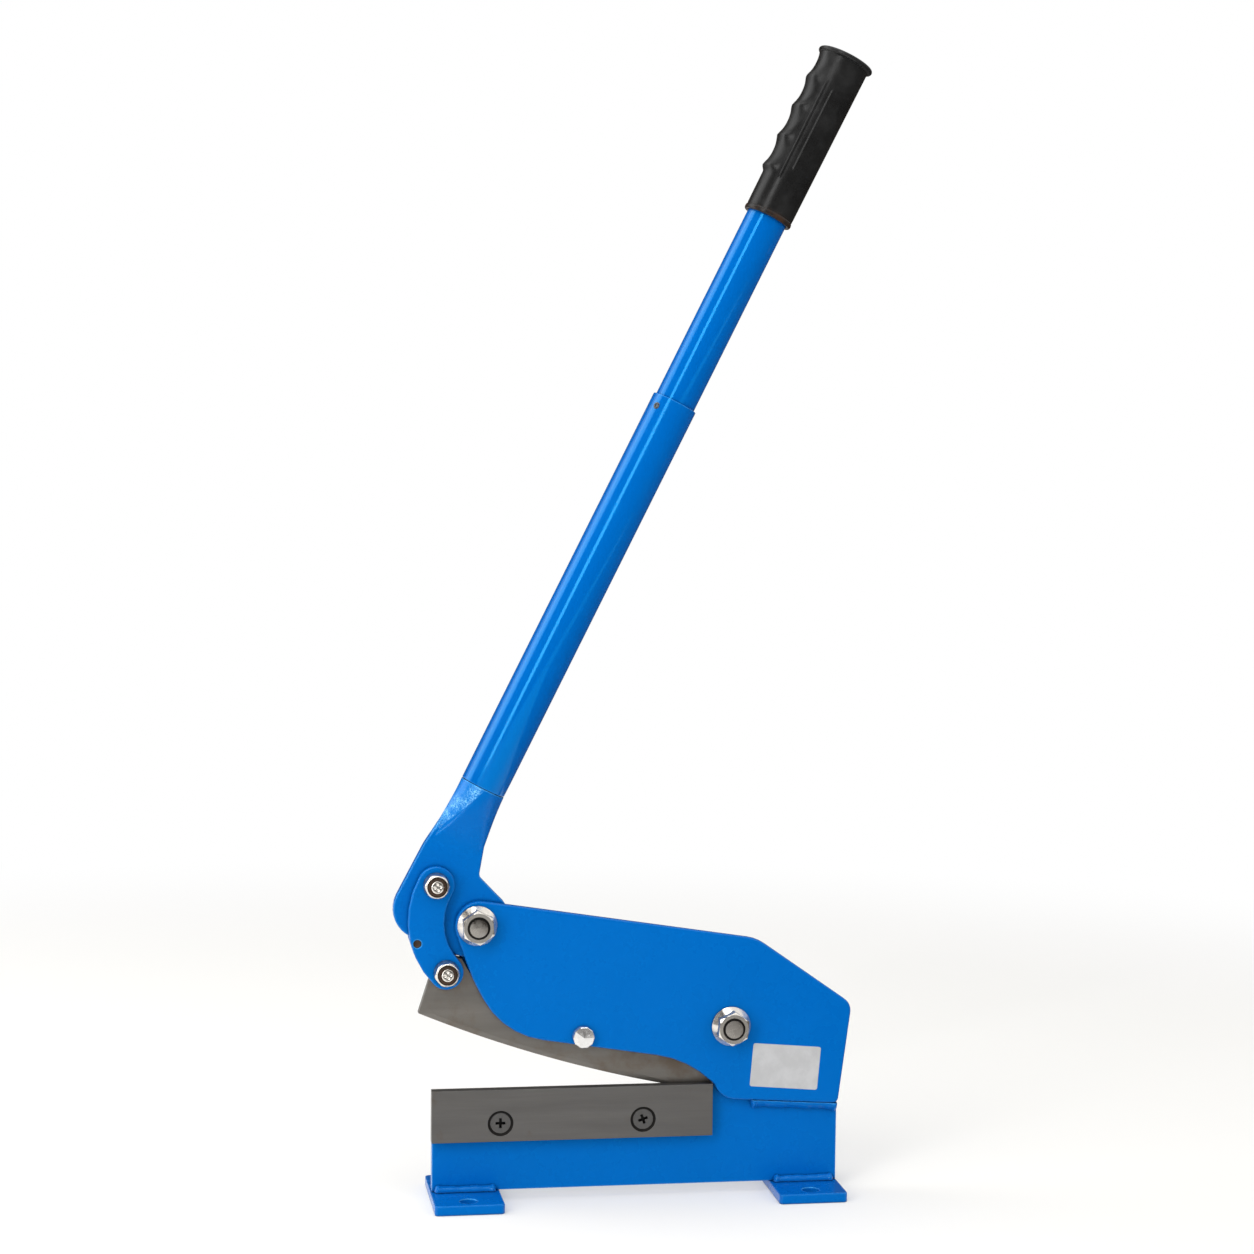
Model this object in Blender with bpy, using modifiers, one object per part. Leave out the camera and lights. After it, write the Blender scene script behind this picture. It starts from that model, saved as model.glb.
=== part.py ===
"""Bench plate shear: a hand lever swings a curved upper blade past a straight lower blade.

Units are metres, +Z is up, +X runs along the blades towards the blade pivot and +Y to the rear.
The origin is the middle of the left foot's underside. The handle is modelled raised, with the
mouth between the blades open. Everything stands in three layers: the front side plate, front link
and lower blade; then the base plate, upper blade and lever head; then the rear plate and link.
"""

import math

import bmesh
import bpy
from mathutils import Matrix, Vector

# Clearances and working allowances
SEAT_GAP = 0.0003
RUNNING_GAP = 0.0003
BORE_GAP = 0.0003
CUT_OVERRUN = 0.004
MERGE_DISTANCE = 0.00001
ARC_STEP = math.radians(11)
HOLE_STEPS = 28
SCREW_STEPS = 20
ROUND_STEPS = 30
TUBE_STEPS = 44
SHARP_ANGLE = math.radians(32)

# Feet
FOOT_WIDTH = 0.049
FOOT_DEPTH = 0.083
FOOT_THICKNESS = 0.007
FOOT_CORNER_RADIUS = 0.003
FOOT_EDGE_ROUND = 0.0008
FOOT_HOLE_RADIUS = 0.0063
FOOT_HOLE_MARGIN = 0.0112

# Lower blade and its place on the base plate
CUTTING_LENGTH = 0.200
LOWER_BLADE_HEIGHT = 0.037
LOWER_BLADE_THICKNESS = 0.008
LOWER_BLADE_RISE = 0.0368
BLADE_SCREW_MARGIN = 0.0485
BLADE_SCREW_SPACING = 0.1015
BLADE_SCREW_HEIGHT = 0.0130

# Base plate
BASE_PLATE_THICKNESS = 0.009
BASE_PLATE_INSET = 0.001
BASE_TAIL = 0.0797
BASE_EDGE_ROUND = 0.0005
BASE_CORNER_RADIUS = 0.0015
BLADE_SWEEP_GAP = 0.0034
SHELF_DROP = 0.0175
SHELF_STEP_SETBACK = 0.003
TOWER_GAP = 0.003
TOWER_CORNER_RADIUS = 0.006

# Pivots: the blade pivot is set from the lower blade, the lever pivot from the left end
BLADE_PIVOT_SETBACK = 0.0130
BLADE_PIVOT_RISE = 0.0410
LEVER_PIVOT_INSET = 0.0313
LEVER_PIVOT_RISE = 0.0754
CRANK_RADIUS = 0.0407
CRANK_ANGLE = math.radians(135)
LINK_CENTRES = 0.0623
LINK_ANGLE = math.radians(-83.1)
LINK_PIN_SWING = 0.0080
LINK_PIN_SIDE_PLAY = 0.00195
LINK_PIN_NECK_RADIUS = 0.0034

# Side plates
SIDE_PLATE_THICKNESS = 0.006
PLATE_EDGE_ROUND = 0.0013
NOSE_RADIUS = 0.0172
NOSE_CORNER_SHARES = (-1.38, 1.22)
PLATE_TOP_FALL = 0.0130
PLATE_TOP_OVERRUN = 0.0183
PLATE_TOP_RADIUS = 0.030
PLATE_TAIL_OVERHANG = 0.0083
PLATE_TAIL_RISE = 0.0139
PLATE_TAIL_RADIUS = 0.0105
PLATE_FOOT_INSET = 0.0010
PLATE_FOOT_DROP = 0.0170
PLATE_FOOT_RADIUS = 0.004
PLATE_RELIEF_CORNER = (0.0068, -0.01145)
PLATE_RELIEF_RADIUS = 0.017
PLATE_HEEL_CORNER = (0.0013, -0.0006)
PLATE_HEEL_RADIUS = 0.010
PLATE_RELIEF_FRONT = 0.0172
PLATE_RELIEF_RISE = 0.0175
PLATE_THROAT_RADIUS = 0.073
PLATE_THROAT_RISE = 0.0383
PLATE_THROAT_SETBACK = 0.0191
PLATE_THROAT_CURVE = 0.058
PLATE_CHEEK_SETBACK = 0.0033
PLATE_CHEEK_DROP = 0.0378
PLATE_CHEEK_RADIUS = 0.130
REAR_PLATE_DROP = 0.0045
REAR_CHEEK_SHIFT = 0.0050
REAR_RELIEF_CORNER = (-0.0070, -0.0140)
REAR_RELIEF_RADIUS = 0.0098
REAR_CURVE_SHARE = 0.7

# Upper blade
UPPER_BLADE_THICKNESS = 0.0084
MOUTH_OPENING = 0.0538
TIP_OVERHANG = 0.0089
HEEL_OVERLAP = 0.0069
HEEL_SETBACK = 0.0140
CUTTING_EDGE_SAG = 0.0064
CUTTING_EDGE_POINTS = 22
LINK_LUG_RADIUS = 0.0118
LINK_LUG_CORNER_SHARE = (0.95, 0.72)
LINK_LUG_START = math.radians(62)
LINK_LUG_END = math.radians(201)
PIVOT_LUG_RADIUS = 0.020
PIVOT_LUG_START = math.radians(-41)
PIVOT_LUG_END = math.radians(88)
BACK_EDGE_SHARES = ((1.51, -0.26), (2.92, -1.53))
FACET_DEPTH = 0.0007
END_FACET_WIDTH = 0.0085
END_FACET_TOP_SHARE = 0.7
EDGE_FACET_HEIGHT = 0.0034
EDGE_FACET_FADE = 5

# Lever head
HUB_RADIUS = 0.0247
LEVER_HEAD_THICKNESS = 0.0084
HEAD_EDGE_ROUND = 0.0012
LOBE_RADIUS = 0.0214
LOBE_DROP = 0.0195
HEAD_WAIST_SHARES = (0.93, 1.03)
HUB_HEEL_SHARES = (-0.162, -1.057)
HUB_HEEL_RADIUS = 0.008
LOBE_NECK = (0.0169, 0.0027)
HUB_START = math.radians(-75)
HUB_END = math.radians(77)
HEAD_SHOULDER_SHARES = (-0.540, 1.253)
HEAD_SHOULDER_RADIUS = 0.005
NECK_START = 0.022
NECK_INSET = 0.0007
NECK_SPREAD = 0.0214
NECK_FLARE_POWER = 1.6
NECK_SHIFT = 0.0011
NECK_RINGS = 11
NECK_POINTS = 32
NECK_SQUARENESS = 6.0
NECK_SLANT = 0.65
NECK_CREASE_SHARE = 0.93
NECK_CREASE_POWER = 1.15
SLAB_REACH = 0.047
SLAB_TOP_HALF = 0.0166

# Handle
HANDLE_LEAN = math.radians(26.29)
SEAM_REACH = 0.0752
SEAM_GAP = 0.0004
OUTER_TUBE_RADIUS = 0.0163
OUTER_TUBE_LENGTH = 0.3009
OUTER_TUBE_WALL = 0.0014
TUBE_SLIDE_GAP = 0.0003
INNER_TUBE_WALL = 0.0020
INNER_TUBE_SHOWN = 0.1443
INNER_TUBE_ENGAGED = 0.060
TUBE_EDGE = 0.0003
SPIGOT_LENGTH = 0.026
LOCK_SCREW_RADIUS = 0.0025
LOCK_SCREW_LENGTH = 0.0042
LOCK_SCREW_MARGIN = 0.0085
LOCK_SCREW_TURN = math.radians(-139)
LOCK_SCREW_SOCKET = 0.0012

# Grip
GRIP_LENGTH = 0.1258
GRIP_RADIUS = 0.0173
GRIP_SPREAD = 0.0008
GRIP_LIP = 0.0005
GRIP_LIP_LENGTH = 0.0052
GRIP_END_WALL = 0.005
GRIP_FLANGE_RADIUS = 0.0209
GRIP_FLANGE_THICKNESS = 0.0034
GRIP_CREST = 0.0025
GRIP_CREST_PITCH = 0.0230
GRIP_FIRST_CREST = 0.0334
GRIP_CREST_COUNT = 4
GRIP_RINGS_PER_CREST = 8
GRIP_POINTS = 28

# Pivot bolts and flange nuts
PIVOT_BOLT_RADIUS = 0.0068
PIVOT_HEAD_FLATS = 0.021
PIVOT_HEAD_HEIGHT = 0.0088
PIVOT_BOLT_PROUD = 0.0006
PIVOT_BUSH_RADIUS = 0.0100
FLANGE_NUT_RADIUS = 0.0140
FLANGE_NUT_RIM = 0.0014
FLANGE_NUT_SLOPE = 0.0036
FLANGE_NUT_HEIGHT = 0.0115
NUT_MOUTH_DEPTH = 0.0008

# Link plates, bolts and lock nuts
LINK_THICKNESS = 0.006
LINK_EDGE_ROUND = 0.0010
LINK_TOP_RADIUS = 0.0130
LINK_FOOT_RADIUS = 0.0120
LINK_BACK_RADIUS = 0.064
LINK_THROAT_RADIUS = 0.040
LINK_DRAIN_RADIUS = 0.0029
LINK_DRAIN_OFFSET = (-0.0130, -0.0410)
LINK_BOLT_RADIUS = 0.0049
LINK_HEAD_FLATS = 0.0165
LINK_HEAD_HEIGHT = 0.0064
LINK_BOLT_PROUD = 0.0002
LOCK_NUT_FLATS = 0.0165
LOCK_NUT_HEX_HEIGHT = 0.0062
LOCK_NUT_COLLAR = 0.0030
LOCK_NUT_COLLAR_RADIUS = 0.0078
LOCK_NUT_RING_RADIUS = 0.0064
LOCK_NUT_RING_DEPTH = 0.0022
LOCK_NUT_FLANGE_RADIUS = 0.0091
LOCK_NUT_FLANGE_RIM = 0.0012

# Guide screw that steadies the upper blade from the front side plate
GUIDE_SCREW_SETBACK = 0.1067
GUIDE_SCREW_RISE = 0.0362
GUIDE_SCREW_RADIUS = 0.0040
GUIDE_HEAD_RADIUS = 0.0077
GUIDE_HEAD_SIDES = 10
GUIDE_HEAD_HEIGHT = 0.0060
GUIDE_HEAD_PEAK = 0.0009
GUIDE_HEAD_EDGE = 0.0004

# Countersunk screws and nuts of the lower blade
BLADE_SCREW_RADIUS = 0.0040
BLADE_SCREW_HEAD_RADIUS = 0.0073
BLADE_SCREW_HEAD_DEPTH = 0.0042
BLADE_SCREW_SINK = 0.0009
COUNTERSINK_RADIUS = 0.0090
CROSS_RECESS_HALF = 0.0035
CROSS_RECESS_WIDTH = 0.0019
CROSS_RECESS_DEPTH = 0.0024
BLADE_NUT_FLATS = 0.013
BLADE_NUT_HEIGHT = 0.0065

# Weld beads
FOOT_BEAD_LEG = 0.0036
PLATE_BEAD_LEG = 0.0060
PLATE_BEAD_START = 0.0155
PLATE_BEAD_OVERRUN = -0.0006
BEAD_PITCH = 0.0021
BEAD_RIPPLE_SHARE = 0.09
BEAD_END_SHARE = 0.80
BEAD_BULGE_SHARE = 0.62
BEAD_FOOT_MARGIN = 0.0016

# Places worked out from the driving sizes
LEFT_END = -FOOT_WIDTH / 2
BLADE_RIGHT = LEFT_END + CUTTING_LENGTH
BLADE_BOTTOM = FOOT_THICKNESS + LOWER_BLADE_RISE
BLADE_TOP = BLADE_BOTTOM + LOWER_BLADE_HEIGHT
BLADE_PIVOT = Vector((BLADE_RIGHT + BLADE_PIVOT_SETBACK, BLADE_TOP + BLADE_PIVOT_RISE))
LEVER_PIVOT = Vector((LEFT_END + LEVER_PIVOT_INSET, BLADE_PIVOT.y + LEVER_PIVOT_RISE))
RIGHT_END = BLADE_PIVOT.x + BASE_TAIL
CRANK_PIN = LEVER_PIVOT + CRANK_RADIUS * Vector((math.cos(CRANK_ANGLE), math.sin(CRANK_ANGLE)))
BLADE_PIN = CRANK_PIN + LINK_CENTRES * Vector((math.cos(LINK_ANGLE), math.sin(LINK_ANGLE)))
BASE_FACE = BASE_PLATE_THICKNESS / 2
LAYER_FACE = BASE_FACE + SEAT_GAP
PLATE_FACE = LAYER_FACE + SIDE_PLATE_THICKNESS
LINK_FACE = LAYER_FACE + LINK_THICKNESS
UPPER_BLADE_Y = -BASE_FACE + UPPER_BLADE_THICKNESS / 2
HEEL = BLADE_PIVOT - Vector((HEEL_SETBACK, BLADE_PIVOT_RISE + HEEL_OVERLAP))
TIP = Vector((LEFT_END - TIP_OVERHANG, BLADE_TOP + MOUTH_OPENING))
HEEL_SHELF = BLADE_PIVOT.y - (BLADE_PIVOT - HEEL).length - BLADE_SWEEP_GAP
MOUTH_SHELF = BLADE_TOP - SHELF_DROP
PLATE_BOTTOM = BLADE_TOP - PLATE_FOOT_DROP
INNER_TUBE_RADIUS = OUTER_TUBE_RADIUS - OUTER_TUBE_WALL - TUBE_SLIDE_GAP
NUT_BORE = PIVOT_BOLT_RADIUS + BORE_GAP
LINK_BORE = LINK_BOLT_RADIUS + BORE_GAP
SCREW_X = (LEFT_END + BLADE_SCREW_MARGIN, LEFT_END + BLADE_SCREW_MARGIN + BLADE_SCREW_SPACING)
SCREW_Z = BLADE_BOTTOM + BLADE_SCREW_HEIGHT
GUIDE = Vector((LEFT_END + GUIDE_SCREW_SETBACK, BLADE_TOP + GUIDE_SCREW_RISE))

FRONTWARDS = Matrix.Rotation(math.pi / 2, 4, "X")
REARWARDS = Matrix.Rotation(-math.pi / 2, 4, "X")


# Scene, collections and finishes


def clear_scene():
    """Removes whatever the file opened with."""
    for item in list(bpy.data.objects):
        bpy.data.objects.remove(item, do_unlink=True)


def new_collection(name):
    """A collection linked into the scene."""
    collection = bpy.data.collections.new(name)
    bpy.context.scene.collection.children.link(collection)
    return collection


def finish(name, colour, roughness, metallic):
    """A Principled material of one colour."""
    material = bpy.data.materials.new(name)
    material.use_nodes = True
    shader = material.node_tree.nodes["Principled BSDF"]
    shader.inputs["Base Color"].default_value = (*colour, 1)
    shader.inputs["Roughness"].default_value = roughness
    shader.inputs["Metallic"].default_value = metallic
    return material


clear_scene()
PARTS = new_collection("bench_plate_shear")
CUTTERS = new_collection("cutters")
BLUE_PAINT = finish("blue_paint", (0.0, 0.155, 0.58), 0.3, 0.0)
BLADE_STEEL = finish("blade_steel", (0.14, 0.13, 0.12), 0.5, 0.9)
BRIGHT_ZINC = finish("bright_zinc", (0.75, 0.75, 0.76), 0.22, 1.0)
DARK_STEEL = finish("dark_steel", (0.09, 0.09, 0.09), 0.45, 0.9)
BUSH_STEEL = finish("bush_steel", (0.35, 0.34, 0.32), 0.4, 1.0)
RUBBER = finish("black_rubber", (0.022, 0.022, 0.022), 0.6, 0.0)


# Placing objects


def place(name, mesh, material, parent=None, transform=None, collection=None):
    """An object of this mesh, placed by a transform in its parent's frame."""
    item = bpy.data.objects.new(name, mesh)
    (collection or PARTS).objects.link(item)
    if material and not mesh.materials:
        mesh.materials.append(material)
    if parent:
        item.parent = parent
    if transform:
        item.matrix_local = transform
    return item


def joint_empty(name, point, parent=None, lean=0):
    """An empty whose origin lies on a joint's axis, which runs along Y."""
    empty = bpy.data.objects.new(name, None)
    PARTS.objects.link(empty)
    empty.parent = parent
    empty.location = (point.x, 0, point.y)
    empty.rotation_euler = (0, lean, 0)
    return empty


def cutter(name, mesh, parent=None, transform=None):
    """A hidden operand for a Boolean."""
    item = place(name, mesh, None, parent, transform, CUTTERS)
    item.hide_render = True
    item.display_type = "WIRE"
    return item


def combine(target, operand, operation):
    """Adds one exact Boolean to a piece."""
    boolean = target.modifiers.new(operand.name, "BOOLEAN")
    boolean.operation = operation
    boolean.solver = "EXACT"
    boolean.object = operand


def baked(item):
    """The evaluated mesh of an object, welded and shaded; the object is removed."""
    graph = bpy.context.evaluated_depsgraph_get()
    mesh = bpy.data.meshes.new_from_object(item.evaluated_get(graph))
    form = bmesh.new()
    form.from_mesh(mesh)
    bmesh.ops.remove_doubles(form, verts=form.verts, dist=MERGE_DISTANCE)
    form.to_mesh(mesh)
    form.free()
    bpy.data.objects.remove(item, do_unlink=True)
    shade(mesh)
    return mesh


def shade(mesh):
    """Smooth shading with sharp corners."""
    mesh.shade_smooth()
    mesh.set_sharp_from_angle(angle=SHARP_ANGLE)


def shifted(x=0, y=0, z=0):
    """A translation."""
    return Matrix.Translation((x, y, z))


# Outlines: points are (along X, up Z) in the plane of the plates


def arc(centre, radius, start, end):
    """Points along a circular arc, both ends included."""
    count = max(2, math.ceil(abs(end - start) / ARC_STEP))
    angles = [start + (end - start) * i / count for i in range(count + 1)]
    return [Vector((centre.x + radius * math.cos(a), centre.y + radius * math.sin(a))) for a in angles]


def rounded(corners):
    """Turns (point, radius) corners, in counter-clockwise order, into an outline with tangent arcs."""
    outline = []
    for i, (corner, radius) in enumerate(corners):
        before = (corners[i - 1][0] - corner).normalized()
        after = (corners[(i + 1) % len(corners)][0] - corner).normalized()
        if not radius:
            outline.append(corner.copy())
            continue
        half = before.angle(after) / 2
        middle = corner + (before + after).normalized() * radius / math.sin(half)
        start = corner + before * radius / math.tan(half) - middle
        end = corner + after * radius / math.tan(half) - middle
        first = math.atan2(start.y, start.x)
        sweep = (math.atan2(end.y, end.x) - first + math.pi) % math.tau - math.pi
        outline += arc(middle, radius, first, first + sweep)
    return outline


def meeting(first, first_reach, second, second_reach, side):
    """The point at two given distances from two points, on one side of the line between them."""
    line = second - first
    along = (first_reach**2 - second_reach**2 + line.length_squared) / (2 * line.length)
    across = math.sqrt(max(first_reach**2 - along**2, 0))
    unit = line.normalized()
    return first + unit * along + Vector((-unit.y, unit.x)) * across * side


def bowed(start, end, sag, count):
    """Points from start to end along an arc that bulges to the right of the way by its sag."""
    chord = end - start
    radius = (chord.length_squared / 4 + sag**2) / (2 * sag)
    unit = chord.normalized()
    centre = (start + end) / 2 + Vector((-unit.y, unit.x)) * (radius - sag)
    first = math.atan2(start.y - centre.y, start.x - centre.x)
    last = math.atan2(end.y - centre.y, end.x - centre.x)
    sweep = (last - first) % math.tau
    return [
        centre + radius * Vector((math.cos(first + sweep * i / count), math.sin(first + sweep * i / count)))
        for i in range(count + 1)
    ]


# Shapes


def flat_mesh(name, outline, thickness, edge_round=0, holes=()):
    """A flat piece from a closed outline in the XY plane, centred on z = 0, with (point, radius) holes."""
    curve = bpy.data.curves.new(name, "CURVE")
    curve.dimensions = "2D"
    curve.fill_mode = "BOTH"
    curve.extrude = thickness / 2 - edge_round
    curve.bevel_depth = edge_round
    curve.bevel_resolution = 1
    curve.offset = -edge_round
    spline = curve.splines.new("POLY")
    spline.points.add(len(outline) - 1)
    for point, corner in zip(spline.points, outline):
        point.co = (*corner, 0, 1)
    spline.use_cyclic_u = True
    return drilled(name, baked(place(name, curve, None, collection=CUTTERS)), thickness, holes)


def drilled(name, blank, thickness, holes):
    """A flat piece's mesh with (point, radius) holes through it."""
    reach = thickness / 2 + CUT_OVERRUN
    drills = []
    for point, radius in holes:
        drill = rod_mesh("drill", radius, -reach, reach, HOLE_STEPS)
        drill.transform(shifted(*point))
        drills.append(("DIFFERENCE", drill))
    return merged_mesh(name, blank, drills)


def plate(name, mesh, middle, material, parent=None, transform=None):
    """A flat mesh stood upright: its outline lies in XZ and its thickness along Y."""
    stood = shifted(y=middle) @ FRONTWARDS
    return place(name, mesh, material, parent, transform @ stood if transform else stood)


def turned_mesh(name, profile, steps, closed=False):
    """A turned shape about Z from (radius, height) points that run down the outside."""
    mesh = bpy.data.meshes.new(name)
    edges = [(i, i + 1) for i in range(len(profile) - 1)]
    if closed:
        edges.append((len(profile) - 1, 0))
    mesh.from_pydata([(radius, 0, height) for radius, height in profile], edges, [])
    item = place(name, mesh, None, collection=CUTTERS)
    screw = item.modifiers.new("turn", "SCREW")
    screw.angle = math.tau
    screw.steps = steps
    screw.render_steps = steps
    screw.use_merge_vertices = True
    screw.merge_threshold = MERGE_DISTANCE
    return baked(item)


def rod_mesh(name, radius, low, high, steps, chamfer=0):
    """A round rod along Z with chamfered ends."""
    profile = [(0, high), (radius - chamfer, high), (radius, high - chamfer)]
    profile += [(radius, low + chamfer), (radius - chamfer, low), (0, low)]
    if not chamfer:
        profile = [(0, high), (radius, high), (radius, low), (0, low)]
    return turned_mesh(name, profile, steps)


def sleeve_mesh(name, outer, inner, low, high, steps, chamfer):
    """A hollow round sleeve along Z with chamfered outer edges."""
    profile = [(inner, high), (outer - chamfer, high), (outer, high - chamfer)]
    profile += [(outer, low + chamfer), (outer - chamfer, low), (inner, low)]
    return turned_mesh(name, profile, steps, closed=True)


def box_mesh(name, size, centre):
    """A box of this size about its centre."""
    mesh = bpy.data.meshes.new(name)
    form = bmesh.new()
    bmesh.ops.create_cube(form, size=1, matrix=shifted(*centre) @ Matrix.Diagonal((*size, 1)))
    form.to_mesh(mesh)
    form.free()
    return mesh


def lofted_mesh(name, rings, triangles=False):
    """A skin over closed rings of equal point counts, with both ends capped."""
    mesh = bpy.data.meshes.new(name)
    form = bmesh.new()
    rows = [[form.verts.new(point) for point in ring] for ring in rings]
    for lower, upper in zip(rows, rows[1:]):
        for i, corner in enumerate(lower):
            j = (i + 1) % len(lower)
            form.faces.new((corner, lower[j], upper[j], upper[i]))
    form.faces.new(list(reversed(rows[0])))
    form.faces.new(rows[-1])
    if triangles:
        bmesh.ops.triangulate(form, faces=form.faces)
    bmesh.ops.recalc_face_normals(form, faces=form.faces)
    form.to_mesh(mesh)
    form.free()
    shade(mesh)
    return mesh


def merged_mesh(name, base, steps):
    """One mesh from a base mesh and (operation, mesh) steps."""
    target = place(name, base, None, collection=CUTTERS)
    operands = []
    for i, (operation, mesh) in enumerate(steps):
        operands.append(cutter(f"{name}_step_{i}", mesh))
        combine(target, operands[-1], operation)
    mesh = baked(target)
    for operand in operands:
        bpy.data.objects.remove(operand, do_unlink=True)
    return mesh


def hex_mesh(name, flats, low, high, both_ends=False):
    """A hexagon bar from low to high along Z whose corners are turned off at its outer end."""
    across = flats / math.sqrt(3)
    turn_in = flats / 2
    slope = (across - turn_in) * math.tan(math.radians(32))
    bar = bpy.data.meshes.new(name)
    form = bmesh.new()
    middle = shifted(z=(low + high) / 2)
    sizes = {"radius1": across, "radius2": across, "depth": high - low}
    bmesh.ops.create_cone(form, cap_ends=True, segments=6, matrix=middle, **sizes)
    form.to_mesh(bar)
    form.free()
    margin = across * 1.02
    drop = slope * (margin - turn_in) / (across - turn_in)
    profile = [(0, high), (turn_in, high), (margin, high - drop)]
    profile += [(margin, low + drop), (turn_in, low), (0, low)] if both_ends else [(margin, low), (0, low)]
    return merged_mesh(name, bar, [("INTERSECT", turned_mesh(name + "_turning", profile, ROUND_STEPS))])


# Fasteners, built along +Z from their seat at z = 0


def flange_nut_mesh():
    """A hexagon nut with a conical flange and a countersunk mouth."""
    half = PIVOT_HEAD_FLATS / 2
    slope_top = FLANGE_NUT_RIM + FLANGE_NUT_SLOPE
    flange = [(0, slope_top), (half, slope_top), (FLANGE_NUT_RADIUS, FLANGE_NUT_RIM)]
    flange += [(FLANGE_NUT_RADIUS, 0), (0, 0)]
    above = FLANGE_NUT_HEIGHT + CUT_OVERRUN
    bore = [(0, above), (NUT_BORE + NUT_MOUTH_DEPTH + CUT_OVERRUN, above)]
    bore += [(NUT_BORE, FLANGE_NUT_HEIGHT - NUT_MOUTH_DEPTH), (NUT_BORE, -CUT_OVERRUN), (0, -CUT_OVERRUN)]
    hexagon = hex_mesh("nut_hexagon", PIVOT_HEAD_FLATS, FLANGE_NUT_RIM / 2, FLANGE_NUT_HEIGHT)
    steps = [
        ("UNION", turned_mesh("flange", flange, ROUND_STEPS)),
        ("DIFFERENCE", turned_mesh("nut_bore", bore, ROUND_STEPS)),
    ]
    return merged_mesh("flange_nut", hexagon, steps)


def lock_nut_mesh():
    """A hexagon lock nut on a thin flange; its round collar has a recess for its locking ring."""
    top = LOCK_NUT_HEX_HEIGHT + LOCK_NUT_COLLAR
    chamfer = LOCK_NUT_COLLAR / 3
    collar = [(0, top), (LOCK_NUT_COLLAR_RADIUS - chamfer, top), (LOCK_NUT_COLLAR_RADIUS, top - chamfer)]
    collar += [(LOCK_NUT_COLLAR_RADIUS, LOCK_NUT_HEX_HEIGHT / 2), (0, LOCK_NUT_HEX_HEIGHT / 2)]
    rim = LOCK_NUT_FLANGE_RIM
    crown = rim * 4 / 3
    flange = [(0, crown), (LOCK_NUT_FLANGE_RADIUS - rim / 3, crown), (LOCK_NUT_FLANGE_RADIUS, rim)]
    flange += [(LOCK_NUT_FLANGE_RADIUS, 0), (0, 0)]
    recess = top - LOCK_NUT_RING_DEPTH
    bore = [(0, top + CUT_OVERRUN), (LOCK_NUT_RING_RADIUS, top + CUT_OVERRUN)]
    bore += [(LOCK_NUT_RING_RADIUS, recess), (LINK_BORE, recess)]
    bore += [(LINK_BORE, -CUT_OVERRUN), (0, -CUT_OVERRUN)]
    hexagon = hex_mesh("lock_nut_hexagon", LOCK_NUT_FLATS, rim / 2, LOCK_NUT_HEX_HEIGHT)
    steps = [
        ("UNION", turned_mesh("collar", collar, ROUND_STEPS)),
        ("UNION", turned_mesh("lock_flange", flange, ROUND_STEPS)),
        ("DIFFERENCE", turned_mesh("lock_nut_bore", bore, ROUND_STEPS)),
    ]
    return merged_mesh("lock_nut", hexagon, steps)


def plain_nut_mesh():
    """A plain hexagon nut behind the base plate."""
    radius = BLADE_SCREW_RADIUS + BORE_GAP
    bore = rod_mesh("plain_nut_bore", radius, -CUT_OVERRUN, BLADE_NUT_HEIGHT + CUT_OVERRUN, SCREW_STEPS)
    hexagon = hex_mesh("nut_bar", BLADE_NUT_FLATS, 0, BLADE_NUT_HEIGHT, True)
    return merged_mesh("plain_nut", hexagon, [("DIFFERENCE", bore)])


def hex_bolt_mesh(name, flats, head, radius, length, neck=()):
    """A hexagon bolt: the head stands above z = 0 and the shank hangs below it.

    A neck, given as (radius, start, end) below z = 0, makes part of the shank thinner.
    """
    chamfer = radius / 6
    profile = [(0, head / 2), (radius, head / 2)]
    if neck:
        thin, start, end = neck
        profile += [(radius, -start), (thin, -start), (thin, -end), (radius, -end)]
    profile += [(radius, chamfer - length), (radius - chamfer, -length), (0, -length)]
    shank = turned_mesh(name + "_shank", profile, ROUND_STEPS)
    return merged_mesh(name, hex_mesh(name + "_head", flats, 0, head), [("UNION", shank)])


def guide_screw_mesh():
    """The guide screw: a many-sided head with a low peak, and a short shank that ends at the blade."""
    shank = PLATE_FACE + SEAT_GAP - LAYER_FACE
    profile = [(0, GUIDE_HEAD_HEIGHT / 2), (GUIDE_SCREW_RADIUS, GUIDE_HEAD_HEIGHT / 2)]
    profile += [(GUIDE_SCREW_RADIUS, -shank), (0, -shank)]
    face = GUIDE_HEAD_HEIGHT - GUIDE_HEAD_PEAK
    head = [(0, GUIDE_HEAD_HEIGHT), (GUIDE_HEAD_RADIUS - GUIDE_HEAD_EDGE, face)]
    head += [(GUIDE_HEAD_RADIUS, face - GUIDE_HEAD_EDGE), (GUIDE_HEAD_RADIUS, 0), (0, 0)]
    steps = [("UNION", turned_mesh("guide_shank", profile, SCREW_STEPS))]
    return merged_mesh("guide_screw", turned_mesh("guide_head", head, GUIDE_HEAD_SIDES), steps)


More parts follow.
